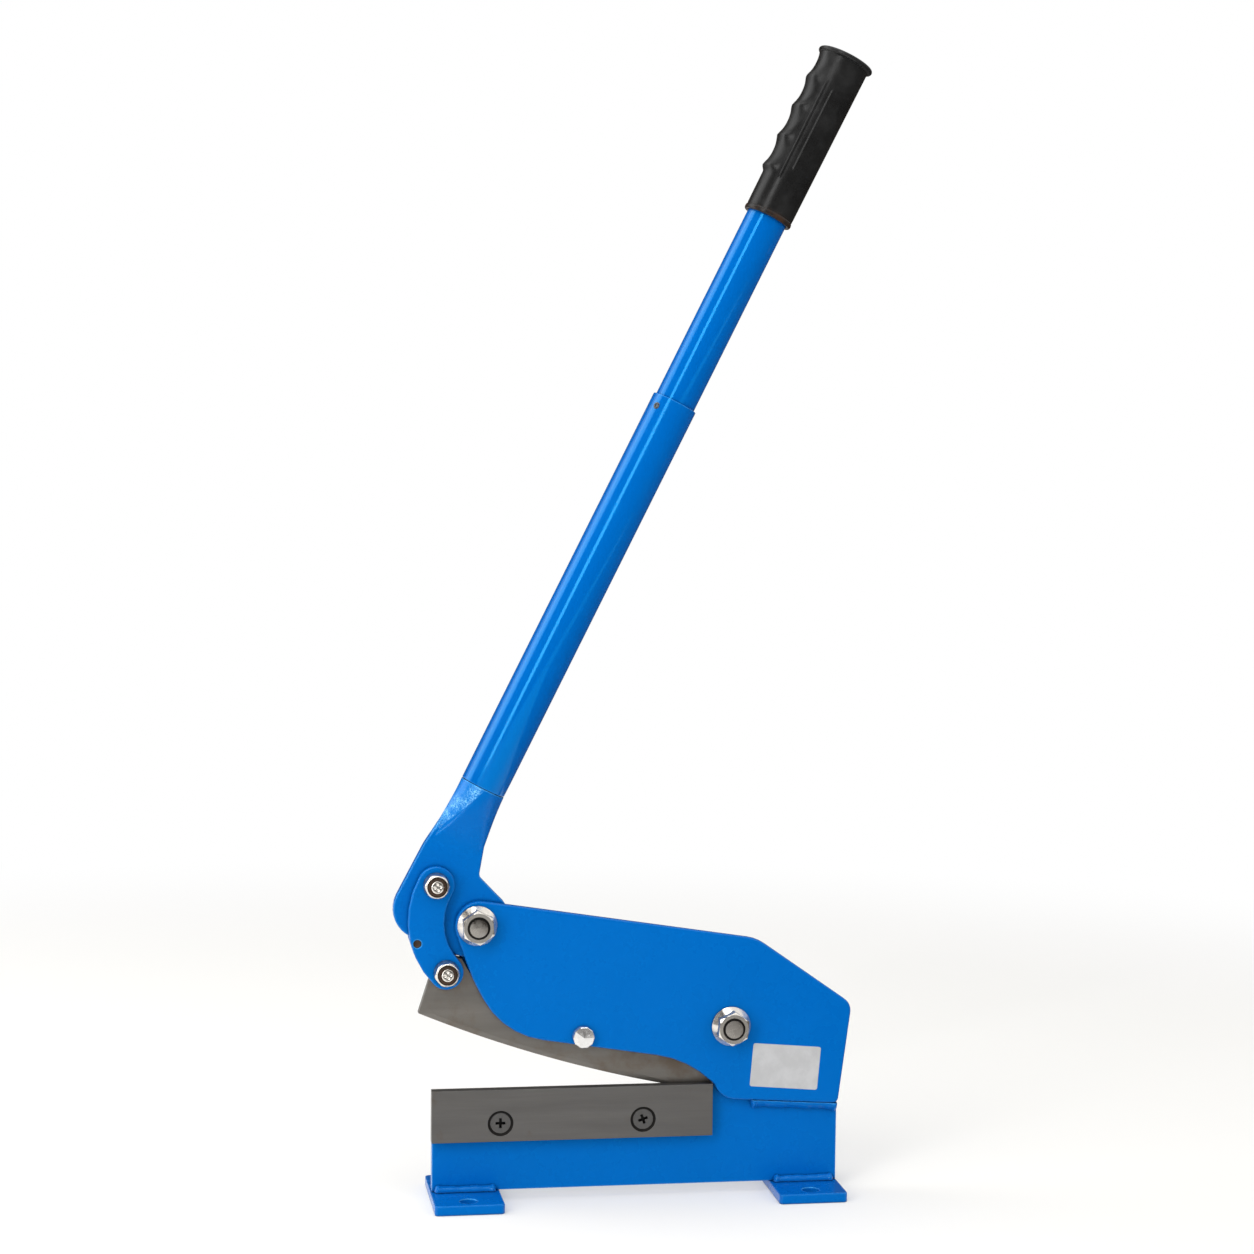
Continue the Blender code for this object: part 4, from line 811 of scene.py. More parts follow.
def hexagon(flats: float, turn: float = 0.0) -> Callable[[float], float]:
    """The radius of a hexagon at each angle, from its width over flats."""
    return lambda way: flats / 2 / math.cos((way + turn) % (math.pi / 3) - math.pi / 6)


def eased(share: float) -> float:
    """A share held between 0 and 1, with soft ends."""
    share = min(1.0, max(0.0, share))
    return share * share * (3 - 2 * share)


def front_seat(x: float, y: float, z: float) -> Matrix:
    """A seat at this point whose +Z points to the front, along -Y."""
    return Matrix.Translation((x, y, z)) @ FRONTWARDS


def node_seat(node: str, depth: float | None = None) -> Matrix:
    """A seat on a node's middle line along Y, at its front end or at a given depth."""
    low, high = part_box(node)
    return front_seat((low.x + high.x) / 2, low.y if depth is None else depth, (low.z + high.z) / 2)


def placed(name: str, data: bpy.types.ID, seat: Matrix) -> bpy.types.Object:
    """Adds an object to the scene.

    Args:
        name: Its name.
        data: Its mesh, light or camera.
        seat: Its place and turn.

    Returns:
        The object.
    """
    item = bpy.data.objects.new(name, data)
    bpy.context.scene.collection.objects.link(item)
    item.matrix_world = seat
    return item


# The workshop


@dataclass
class Workshop:
    """Adds pieces to the bodies and gives CAD nodes their finish, with their meshes untouched."""

    finishes: Finishes = field(default_factory=Finishes)
    groups: dict[float, NodeTree] = field(default_factory=dict)

    def fit(
        self,
        name: str,
        rings: Sequence,
        seat: Matrix,
        body: Body,
        slot: Slot | None = None,
        stands_for: str = "",
        finish: Material | None = None,
        capped: bool = True,
        angle: float = 50.0,
    ) -> None:
        """Adds a piece, on its body.

        Args:
            name: The piece's name.
            rings: The rings that its skin goes over.
            seat: Its place and turn.
            body: The body that it rides on.
            slot: The record's slot that it takes its finish from.
            stands_for: The node that it replaces.
            finish: Its material, where that isn't the slot's.
            capped: Whether the first and last ring are filled; otherwise the last joins the first.
            angle: Edges sharper than this, in degrees, stay sharp.
        """
        mesh = lofted(name, rings, capped, angle)
        mesh.materials.append(finish or self.finishes.by_slot[slot])
        piece = placed(name, mesh, seat)
        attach(piece, body.value)
        if stands_for:
            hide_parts(stands_for)
        LOG.info("built %s", name)

    def smoothing(self, angle: float) -> NodeTree:
        """A geometry group that joins the facets and keeps the sharper edges.

        Args:
            angle: Edges sharper than this, in degrees, stay sharp.

        Returns:
            The node group.
        """
        if angle in self.groups:
            return self.groups[angle]
        tree = bpy.data.node_groups.new(f"even_shading_{angle:.0f}", "GeometryNodeTree")
        for way in ("INPUT", "OUTPUT"):
            tree.interface.new_socket(name="Geometry", in_out=way, socket_type="NodeSocketGeometry")
        graph = Graph(tree)
        entry = graph.add("NodeGroupInput").outputs[0]
        inputs = {0: entry, "Distance": MERGE_REACH}
        merged = graph.add("GeometryNodeMergeByDistance", inputs).outputs[0]
        inputs = {0: graph.add("GeometryNodeInputMeshEdgeAngle").outputs[0], 1: math.radians(angle)}
        sharp = graph.add("FunctionNodeCompare", inputs, operation="GREATER_THAN").outputs[0]
        inputs = {"Geometry": merged, "Shade Smooth": True}
        shaded = graph.add("GeometryNodeSetShadeSmooth", inputs).outputs[0]
        inputs = {0: shaded, "Remove Custom": True, "Edge Sharpness": sharp}
        normal = graph.add("GeometryNodeSetMeshNormal", inputs, mode="SHARPNESS")
        graph.add("NodeGroupOutput", {0: normal.outputs[0]})
        self.groups[angle] = tree
        return tree

    def dress(self, names: Iterable[str], slot: Slot, angle: float, edge: float = 0.0) -> None:
        """Gives nodes their finish, even shading and, where asked, softened edges.

        Args:
            names: The CAD nodes.
            slot: Their material slot.
            angle: Edges sharper than this, in degrees, stay sharp.
            edge: The width by which sharp edges are softened.
        """
        for name in names:
            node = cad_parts[name]
            for place in node.material_slots:
                place.material = self.finishes.by_slot[slot]
            node.modifiers.new("even_shading", "NODES").node_group = self.smoothing(angle)
            if edge:
                bevel = node.modifiers.new("soft_edges", "BEVEL")
                bevel.width = edge
                bevel.segments = 2
                bevel.limit_method = "ANGLE"
                bevel.angle_limit = math.radians(angle)
            node.modifiers.new("flat_faces", "WEIGHTED_NORMAL").keep_sharp = True
            LOG.info("dressed %s", name)


# Sub-assemblies


@dataclass
class FrameAssembly:
    """Feet, base plate, side plates, heel cover and the blank sticker."""

    shop: Workshop
    plates: tuple[str, ...] = (
        "base_plate", "left_foot", "right_foot", "front_side_plate", "rear_side_plate"
    )
    sticker_middle: tuple[float, float] = (0.22835, 0.09156)
    sticker_half: tuple[float, float] = (0.0247, 0.01555)
    sticker_turn: float = math.radians(4.75)
    sticker_corner: float = 0.0015
    corner_steps: int = 6
    sticker_thickness: float = 0.00012
    sticker_rings: Profile = ((1, 0), (1, 0.7), (0.997, 1))
    heel_outline: Profile = (
        (0.1720, 0.0655), (0.2080, 0.0655), (0.2080, 0.0720), (0.1960, 0.0840),
        (0.1771, 0.0840), (0.1771, 0.0786), (0.1720, 0.0786),
    )
    heel_rings: Profile = ((1, -0.00456), (1, -0.00468), (0.994, -0.00474))

    def build(self) -> None:
        """Dresses the painted plates and adds the heel cover and the sticker."""
        self.shop.dress(self.plates, Slot.PAINT, 50)
        self.add_heel_cover()
        self.add_sticker()

    def add_heel_cover(self) -> None:
        """A thin painted cover on the base plate, in the corner right of the lower blade."""
        mid_x, mid_z = (sum(places) / len(places) for places in zip(*self.heel_outline))
        rings = [
            [
                Vector((mid_x + (x - mid_x) * share, depth, mid_z + (z - mid_z) * share))
                for x, z in self.heel_outline
            ]
            for share, depth in self.heel_rings
        ]
        paint = self.shop.finishes.cover
        self.shop.fit("heel_cover", rings, IN_FRAME, Body.FRAME, Slot.PAINT, finish=paint, angle=15)

    def add_sticker(self) -> None:
        """A thin blank foil sticker with rounded corners on the front side plate."""
        outline = []
        corner_x, corner_z = (half - self.sticker_corner for half in self.sticker_half)
        for quarter, (sign_x, sign_z) in enumerate(((1, 1), (-1, 1), (-1, -1), (1, -1))):
            centre = Vector((sign_x * corner_x, sign_z * corner_z))
            for step in range(self.corner_steps + 1):
                turn = math.pi / 2 * (quarter + step / self.corner_steps)
                way = Vector((math.cos(turn), math.sin(turn)))
                outline.append(centre + self.sticker_corner * way)
        rings = [
            [Vector((*(point * share), level * self.sticker_thickness)) for point in outline]
            for share, level in self.sticker_rings
        ]
        x, z = self.sticker_middle
        seat = front_seat(x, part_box("front_side_plate")[0].y, z)
        seat = seat @ Matrix.Rotation(-self.sticker_turn, 4, "Z")
        foil = self.shop.finishes.label
        self.shop.fit("blank_sticker", rings, seat, Body.FRAME, finish=foil, angle=15)


@dataclass
class WeldSet:
    """Rippled weld beads with swollen ends, in place of the plain ones."""

    shop: Workshop
    wall: float = 0.0048
    foot_leg: float = 0.0041
    plate_leg: float = 0.0056
    plate_corner: float = 0.0058
    spacing: float = 0.0004
    arc_steps: int = 8
    bulge: float = 0.16
    toe: float = 1.25
    end_size: float = 0.12
    end_round: float = 0.0016
    lump: float = 0.20
    lump_place: float = 0.0024
    ripple: float = 0.0019
    ripple_height: float = 0.030
    waves: Profile = ((0.045, 310), (0.03, 730))

    def build(self) -> None:
        """Adds a bead in place of each weld node."""
        for facing, side in (("front", -1), ("rear", 1)):
            for foot in ("left", "right"):
                name = f"{foot}_foot_weld_{facing}"
                low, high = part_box(name)
                ends = Vector((low.x, 0, low.z)), Vector((high.x, 0, low.z))
                self.add_bead(name, ends, side, (self.foot_leg, self.foot_leg))
            name = f"side_plate_weld_{facing}"
            low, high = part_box(name)
            ends = Vector((low.x, 0, high.z)), Vector((high.x, 0, low.z + self.plate_corner))
            self.add_bead(name, ends, side, (self.plate_leg, -self.plate_leg))

    def add_bead(
        self, node: str, ends: tuple[Vector, Vector], side: int, legs: tuple[float, float]
    ) -> None:
        """One bead along the corner between two plates.

        Args:
            node: The weld node that the bead replaces.
            ends: The corner's two ends.
            side: -1 on the front, 1 on the rear.
            legs: The bead's reach out from the wall, and up or down along it.
        """
        start, end = ends
        length = (end - start).length
        count = round(length / self.spacing)
        phase = len(node) + start.x * 90
        rings = []
        for i in range(count + 1):
            size = self.swell(length * i / count, length, phase)
            corner = start.lerp(end, i / count)
            ring = [Vector((corner.x, side * self.wall, corner.z))]
            for k in range(self.arc_steps + 1):
                turn = math.pi / 2 * k / self.arc_steps
                bulge = 1 + self.bulge * math.sin(2 * turn)
                out = legs[0] * size * bulge * math.sin(turn) ** self.toe
                up = legs[1] * size * bulge * math.cos(turn) ** self.toe
                ring.append(Vector((corner.x, side * (self.wall + out), corner.z + up)))
            rings.append(ring)
        self.shop.fit(f"{node}_bead", rings, IN_FRAME, Body.FRAME, Slot.PAINT, node)

    def swell(self, along: float, length: float, phase: float) -> float:
        """The bead's size at a place: ripples, slow waves, round ends and a lump near each end.

        Args:
            along: The place.
            length: The bead's length.
            phase: Where the bead's ripples start.

        Returns:
            The size, about 1.
        """
        inward = min(along, length - along)
        round_end = math.sqrt(max(0.0, 1 - (1 - min(1.0, inward / self.end_round)) ** 2))
        lump = self.lump * math.exp(-(((inward - self.lump_place) / self.end_round) ** 2))
        ripples = self.ripple_height * abs(math.sin(math.pi * along / self.ripple + phase))
        waves = [
            height * math.sin(along * rate + (k + 1) * phase)
            for k, (height, rate) in enumerate(self.waves)
        ]
        body = 0.92 + lump + ripples + sum(waves)
        return (self.end_size + (1 - self.end_size) * round_end) * body


@dataclass
class BladeSet:
    """The blades, and the lower one's screws, nuts and near-black rings painted as shade in the gaps
    round the screws' heads.
    """

    shop: Workshop
    screws: tuple[str, str] = ("lower_blade_screw_left", "lower_blade_screw_right")
    nuts: tuple[str, str] = ("lower_blade_nut_left", "lower_blade_nut_right")
    shade_ring_profile: Profile = (
        (0.00898, -0.00004), (0.00860, -0.00012), (0.00760, -0.00035), (0.00735, -0.00090),
        (0.00700, -0.00170), (0.00830, -0.00165),
    )
    steps: int = 48

    def build(self) -> None:
        """Dresses the blades and fasteners, and fills the gaps round the screws' heads with
        near-black rings of painted shade.
        """
        self.shop.dress(["lower_blade"], Slot.LOWER_STEEL, 40, 0.00025)
        self.shop.dress(self.screws, Slot.DARK_STEEL, 40, 0.00015)
        self.shop.dress(self.nuts, Slot.ZINC, 40, 0.00015)
        self.shop.dress(["upper_blade"], Slot.UPPER_STEEL, 3.5)
        # Painted shade: a near-black ring fills the gap round each screw's head.
        rings = turned(self.shade_ring_profile, self.steps)
        shade_black = self.shop.finishes.shade_black
        for screw in self.screws:
            seat = node_seat(screw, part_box("lower_blade")[0].y)
            self.shop.fit(f"{screw}_gap", rings, seat, Body.FRAME, finish=shade_black, capped=False)


@dataclass
class PivotSet:
    """The two main pivots and the guide screw, with the pieces at their ends."""

    shop: Workshop
    nut_flats: float = 0.0210
    nut_flange: float = 0.0140
    nut_rim: float = 0.0014
    nut_cone: float = 0.0036
    nut_height: float = 0.0115
    nut_bore: float = 0.0071
    nut_chamfer: float = math.tan(math.radians(32))
    nut_steps: int = 96
    turns_and_domes: dict[str, tuple[float, float]] = field(
        default_factory=lambda: {"lever_pivot": (94.6, 0.0009), "blade_pivot": (85.0, 0.0002)}
    )
    end_radius: float = 0.0064
    end_rings: int = 9
    thread_profile: Profile = (
        (0.00635, 0.00002), (0.00655, 0.00010), (0.00690, -0.00002), (0.00700, -0.00035),
        (0.00715, -0.00050), (0.00730, -0.00042), (0.00750, -0.00055), (0.00785, -0.00056),
        (0.00725, -0.00125), (0.00660, -0.00125), (0.00635, -0.00030),
    )
    steps: int = 48

    def build(self) -> None:
        """Dresses the pivots and the guide screw and adds nuts, bolt ends and thread rings, the
        rings near-black as painted shade.
        """
        names = self.turns_and_domes
        self.shop.dress([f"{name}_bolt" for name in names], Slot.BOLT_END, 40, 0.0002)
        self.shop.dress([f"{name}_bush" for name in names], Slot.BUSH, 40)
        self.shop.dress(["guide_screw"], Slot.TURNED, 2.5)
        for name, (turn, dome) in names.items():
            self.add_nut(name, turn)
            self.add_bolt_end(name, dome)
            # A grooved thread ring in the nut's mouth, coloured near-black as painted shade.
            rings = turned(self.thread_profile, self.steps)
            shade_black = self.shop.finishes.shade_black
            seat = node_seat(f"{name}_bolt")
            self.shop.fit(
                f"{name}_thread", rings, seat, Body.FRAME, finish=shade_black, capped=False, angle=30
            )

    def add_nut(self, name: str, turn: float) -> None:
        """A hexagon nut with turned-off corners on a conical flange, open at both ends.

        Args:
            name: The pivot's name.
            turn: How far the hexagon is turned, in degrees.
        """
        half, rim, top = self.nut_flats / 2, self.nut_rim, self.nut_height
        outside, bore = self.nut_flange, self.nut_bore
        slope = self.nut_cone / (outside - half)
        six = hexagon(self.nut_flats)
        profile = (
            (bore, 0.0), (outside - 0.0002, 0.0), (outside, 0.0002), (outside, rim - 0.0003),
            (outside - 0.00025, rim),
            (six, lambda reach: rim + slope * (outside - reach)),
            (six, lambda reach: top - (reach - half) * self.nut_chamfer - 0.00012),
            (half - 0.0001, top), (bore + 0.0009, top), (bore + 0.0008, top - 0.0001),
            (bore, top - 0.0009),
        )
        node, rings = f"{name}_nut", turned(profile, self.nut_steps)
        seat = node_seat(node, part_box(node)[1].y) @ Matrix.Rotation(math.radians(turn), 4, "Z")
        piece = f"{name}_flange_nut"
        self.shop.fit(piece, rings, seat, Body.FRAME, Slot.ZINC, node, capped=False, angle=22)

    def add_bolt_end(self, name: str, dome: float) -> None:
        """A domed or flat end on a pivot bolt.

        Args:
            name: The pivot's name.
            dome: How far the middle stands above the rim.
        """
        profile = [(self.end_radius, -0.0003)]
        for i in range(self.end_rings):
            share = 1 - i / (self.end_rings - 0.5)
            profile.append((self.end_radius * 0.99 * share, 0.0002 + dome * (1 - share**2)))
        rings, seat = turned(profile, self.steps), node_seat(f"{name}_bolt")
        self.shop.fit(f"{name}_bolt_end", rings, seat, Body.FRAME, Slot.BOLT_END, angle=60)


@dataclass
class LinkSet:
    """The links with their bolts, lock nuts, nylon rings and dimpled bolt ends."""

    shop: Workshop
    nut_flats: float = 0.0165
    nut_steps: int = 96
    nut_turns: dict[str, float] = field(default_factory=lambda: {"crank": 4.0, "blade": -9.0})
    foot_profile: Profile = ((0.00520, 0.0000), (0.00900, 0.0000), (0.00912, 0.0004))
    hex_profile: Profile = (
        (0.00912, 0.0030), (0.00912, 0.0048), (0.00896, 0.0062), (0.00862, 0.0074),
        (0.00815, 0.0083), (0.00765, 0.0089),
    )
    collar_profile: Profile = (
        (0.00722, 0.0092), (0.00700, 0.0092), (0.00686, 0.0090), (0.00680, 0.0085),
        (0.00680, 0.0066), (0.00520, 0.0066),
    )
    ring_profile: Profile = (
        (0.00430, 0.00028), (0.00478, 0.00032), (0.00495, 0.00005), (0.00530, -0.00030),
        (0.00590, -0.00022), (0.00650, -0.00050), (0.00676, -0.00110), (0.00676, -0.00200),
        (0.00495, -0.00200), (0.00450, 0.00000),
    )
    end_radius: float = 0.0043
    end_height: float = 0.0008
    end_rings: int = 24
    end_fall: float = 0.55
    dimple_turn: float = math.radians(8)
    dimple_place: float = 0.0021
    dimple_radius: float = 0.00075
    dimple_depth: float = 0.0007
    plug_place: tuple[float, float] = (-0.03498, 0.18498)
    plug_radius: float = 0.00285
    plug_lip: Profile = ((0.4, 0.0004), (1.0, 0.0006))
    plug_dish: Profile = (
        (1.0, -0.0010), (0.9, -0.0008), (0.65, -0.0013), (0.35, -0.0016), (0.05, -0.0017)
    )
    steps: int = 48

    def build(self) -> None:
        """Dresses the links and adds what shows at the ends of their bolts."""
        self.shop.dress(["front_link", "rear_link"], Slot.PAINT, 50)
        for pin, turn in self.nut_turns.items():
            self.shop.dress([f"link_bolt_{pin}"], Slot.ZINC, 40, 0.00018)
            nut_face, nut_seat = (corner.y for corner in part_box(f"link_nut_{pin}"))
            bolt = f"link_bolt_{pin}"
            self.add_nut(pin, math.radians(turn), node_seat(bolt, nut_seat))
            rings, nylon = turned(self.ring_profile, self.steps), self.shop.finishes.nylon
            seat = node_seat(bolt, nut_face)
            self.shop.fit(f"lock_ring_{pin}", rings, seat, Body.LINKS, finish=nylon, capped=False)
            self.add_end(pin, node_seat(bolt))
        self.add_plug()

    def add_nut(self, pin: str, turn: float, seat: Matrix) -> None:
        """A flanged lock nut: a hexagon with rounded corners under a smooth collar.

        Args:
            pin: The pin's name.
            turn: How far the hexagon is turned.
            seat: The nut's seat.
        """
        six = hexagon(self.nut_flats, turn)
        body = [
            (lambda way, limit=limit: min(limit, six(way)), height)
            for limit, height in self.hex_profile
        ]
        rings = turned((*self.foot_profile, *body, *self.collar_profile), self.nut_steps)
        name, node = f"lock_nut_{pin}", f"link_nut_{pin}"
        self.shop.fit(name, rings, seat, Body.LINKS, Slot.ZINC, node, capped=False, angle=45)

    def add_end(self, pin: str, seat: Matrix) -> None:
        """A slightly domed bolt end with four dimples in a cross.

        Args:
            pin: The pin's name.
            seat: The bolt's front end.
        """
        turns = [math.pi / 2 * k + self.dimple_turn for k in range(4)]
        dimples = [self.dimple_place * Vector((math.cos(turn), math.sin(turn))) for turn in turns]
        rings = [ring_at(-0.0004, self.end_radius, self.steps)]
        for i in range(self.end_rings):
            share = 1 - i / (self.end_rings - 0.5)
            ring = ring_at(0.0, self.end_radius * share, self.steps)
            for point in ring:
                height = self.end_height * (1 - self.end_fall * share**6)
                for dimple in dimples:
                    away = (point.xy - dimple).length / self.dimple_radius
                    height -= self.dimple_depth * math.exp(-(away**2))
                point.z = height
            rings.append(ring)
        self.shop.fit(f"link_bolt_end_{pin}", rings, seat, Body.LINKS, Slot.ZINC, angle=70)

    def add_plug(self) -> None:
        """The dished dark plug in the front link's small hole."""
        front, back = (corner.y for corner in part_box("front_link"))
        lip = [(share, front - back + level) for share, level in self.plug_lip]
        profile = [(self.plug_radius * share, level) for share, level in lip + list(self.plug_dish)]
        seat = front_seat(self.plug_place[0], front, self.plug_place[1])
        rings, nylon = turned(profile, self.steps), self.shop.finishes.nylon
        self.shop.fit("link_hole_plug", rings, seat, Body.LINKS, finish=nylon)


@dataclass(frozen=True)
class LeverSizes:
    """Places along the lever's own axis, which starts at the crank pin and leans to the right."""

    crank_pin: tuple[float, float, float] = (-0.021979, 0.0, 0.225979)
    lean: float = math.radians(26.29)
    grip_base: float = 0.5204
    grip_length: float = 0.1257
    crease_low: float = 0.0220
    crease_high: float = 0.0748
    crease_spread: float = 0.0225

    def axis(self, along: float = 0.0) -> Matrix:
        """A seat on the lever's axis, +Z up the lever."""
        lean = Matrix.Rotation(self.lean, 4, "Y")
        return Matrix.Translation(self.crank_pin) @ lean @ Matrix.Translation(along * UPWARDS)


@dataclass
class LeverSet:
    """The lever head, tubes, lock screw and the moulded grip."""

    shop: Workshop
    sizes: LeverSizes = LeverSizes()
    tubes: dict[str, tuple[float, float, float, float]] = field(
        default_factory=lambda: {
            "outer_tube": (0.0163, 0.0014, 0.0752, 0.3761),
            "inner_tube": (0.0146, 0.0020, 0.3161, 0.6409),
        }
    )
    tube_steps: int = 160
    rim_round: float = 0.0005
    screw_place: float = 0.3676
    screw_turn: float = math.radians(-139)
    screw_steps: int = 36
    screw_profile: Profile = (
        (0.00245, -0.0009), (0.00245, 0.00012), (0.00225, 0.00030), (0.00135, 0.00034),
        (0.00120, 0.00030), (0.00110, 0.00010), (0.00010, 0.00006),
    )
    radius: float = 0.0172
    spread: float = 0.0008
    bore: float = 0.0149
    bore_stop: float = 0.005
    crest: float = 0.0029
    crest_pitch: float = 0.0230
    first_crest: float = 0.0334
    first_share: float = 0.79
    crest_share: float = 0.90
    crest_power: float = 2.3
    crest_flat: float = 0.12
    ridge_side: tuple[float, float] = (math.radians(28), math.radians(56))
    lip: float = 0.0021
    lip_round: float = 0.0019
    lip_proud: float = 0.0008
    lip_sunk: float = 0.0003
    body_start: float = 0.0052
    body_rows: int = 100
    flange_radius: float = 0.0206
    flange: float = 0.0034
    flange_gap: float = 0.0006
    end_dish: Profile = ((0.0150, -0.0004), (0.0040, -0.0008))
    rib_height: float = 0.00055
    rib_width: float = 0.00065
    rib_fade: float = 0.002
    ribs: tuple[tuple[float, float, float], ...] = (
        (math.radians(-116), 0.027, 0.103), (math.radians(-94), 0.035, 0.099)
    )
    steps: int = 240

    def build(self) -> None:
        """Dresses the head, and adds the tubes, the lock screw and the grip."""
        self.shop.dress(["lever_head"], Slot.LEVER_PAINT, 42)
        for name, tube in self.tubes.items():
            self.add_tube(name, *tube)
        self.add_lock_screw()
        self.add_grip()

    def add_tube(self, name: str, radius: float, wall: float, low: float, high: float) -> None:
        """A painted tube with softened rims.

        Args:
            name: The tube's node, which the piece replaces.
            radius: The outside radius.
            wall: The wall's thickness.
            low: The lower end's place along the lever.
            high: The upper end's place along the lever.
        """
        soft, near = self.rim_round, 0.3 * self.rim_round
        rim = [(soft, 0.0), (near, near), (0.0, soft)]
        profile = [(radius - inset, low + rise) for inset, rise in rim]
        profile += [(radius - inset, high - fall) for inset, fall in reversed(rim)]
        profile += [(radius - wall, high), (radius - wall, low)]
        self.shop.fit(
            f"painted_{name}", turned(profile, self.tube_steps), self.sizes.axis(), Body.LEVER,
            Slot.TUBE_PAINT, name, capped=False,
        )

    def add_lock_screw(self) -> None:
        """The lock screw near the outer tube's upper end: a low head with a shallow socket."""
        out = Matrix.Rotation(self.screw_turn, 4, "Z") @ Matrix.Rotation(math.pi / 2, 4, "Y")
        radius = self.tubes["outer_tube"][0]
        seat = self.sizes.axis(self.screw_place) @ out @ Matrix.Translation(radius * UPWARDS)
        self.shop.fit(
            "lock_screw_head", turned(self.screw_profile, self.screw_steps), seat, Body.LEVER,
            Slot.DARK_STEEL, "tube_lock_screw", self.shop.finishes.blackened, angle=40,
        )

    def surface(self, turn: float, height: float) -> float:
        """The grip's outer radius.

        Args:
            turn: The angle about its axis.
            height: The height above its lower end.

        Returns:
            The radius.
        """
        inner, outer = self.ridge_side
        fingers = eased((outer - abs(turn % math.tau - math.pi)) / (outer - inner))
        wave = self.crest * self.scallop((height - self.first_crest) / self.crest_pitch)
        taper = self.radius + self.spread * height / self.sizes.grip_length
        return taper + wave * fingers + self.rib(turn, height)

    def scallop(self, phase: float) -> float:
        """The finger side's height: noses at whole phases, round hollows between them.

        Args:
            phase: The place along the grip, in fingers from the first nose.

        Returns:
            The share of the crest's height.
        """
        if phase < 0:
            return self.first_share * eased(1 + phase / 0.2)
        away = abs(2 * (phase % 1.0) - 1)
        nose = 1 - self.crest_flat * eased((away - 0.75) / 0.25)
        return self.crest_share * away**self.crest_power * nose

    def rib(self, turn: float, height: float) -> float:
        """How far the long raised lines on the front of the grip stand out at a place.

        Args:
            turn: The angle about its axis.
            height: The height above its lower end.

        Returns:
            The height of the lines there.
        """
        total = 0.0
        for line, low, high in self.ribs:
            away = (turn - line + math.pi) % math.tau - math.pi
            side = math.exp(-((away * self.radius / self.rib_width) ** 2))
            ends = eased((height - low) / self.rib_fade) * eased((high - height) / self.rib_fade)
            total += self.rib_height * side * ends
        return total

    def add_grip(self) -> None:
        """The grip: rolled lip, finger crests, two long ribs and an end flange, with a bore."""
        length, half = self.sizes.grip_length, self.flange / 2
        profile: list[tuple] = [(self.bore, length - self.bore_stop), (self.bore, 0.0004)]

        def outer(height: float, extra: float = 0.0) -> Callable[[float], float]:
            """The outside's radius at each angle."""
            return lambda turn: self.surface(turn, height) + extra

        for turn in map(math.radians, range(-90, 91, 30)):
            proud = self.lip_proud * math.cos(turn) - self.lip_sunk
            profile.append((outer(self.lip, proud), self.lip + self.lip_round * math.sin(turn)))
        rise = length - self.flange - self.flange_gap - self.body_start
        for i in range(self.body_rows + 1):
            height = self.body_start + rise * i / self.body_rows
            profile.append((outer(height), height))
        for turn in map(math.radians, range(-90, 91, 22)):
            reach = self.flange_radius - half * (1 - math.cos(turn))
            profile.append((reach, length - half + half * math.sin(turn)))
        profile += [(reach, length + level) for reach, level in self.end_dish]
        rings, seat = turned(profile, self.steps), self.sizes.axis(self.sizes.grip_base)
        self.shop.fit("moulded_grip", rings, seat, Body.LEVER, Slot.RUBBER, "grip")


# Studio


def aimed(place: Vector, right: Vector, up: Vector, back: Vector) -> Matrix:
    """A seat at a place, with its axes to its right, its top and its back."""
    turn = Matrix((right, up, back)).transposed().to_4x4()
    return Matrix.Translation(place) @ turn


@dataclass(frozen=True)
class Lamp:
    """A rectangular lamp that faces the tube; its length runs along the lever or upright."""

    name: str
    place: Vector
    size: tuple[float, float]
    power: float
    length: Vector
    mirrored: bool

    def add(self, target: Vector) -> None:
        """Adds the lamp, facing the target.

        Args:
            target: The point that it faces.
        """
        data = bpy.data.lights.new(self.name, "AREA")
        data.shape = "RECTANGLE"
        data.size, data.size_y = self.size
        data.energy = self.power
        back = (self.place - target).normalized()
        across = self.length.cross(back).normalized()
        item = placed(self.name, data, aimed(self.place, across, back.cross(across), back))
        item.visible_camera = False
        item.visible_glossy = self.mirrored


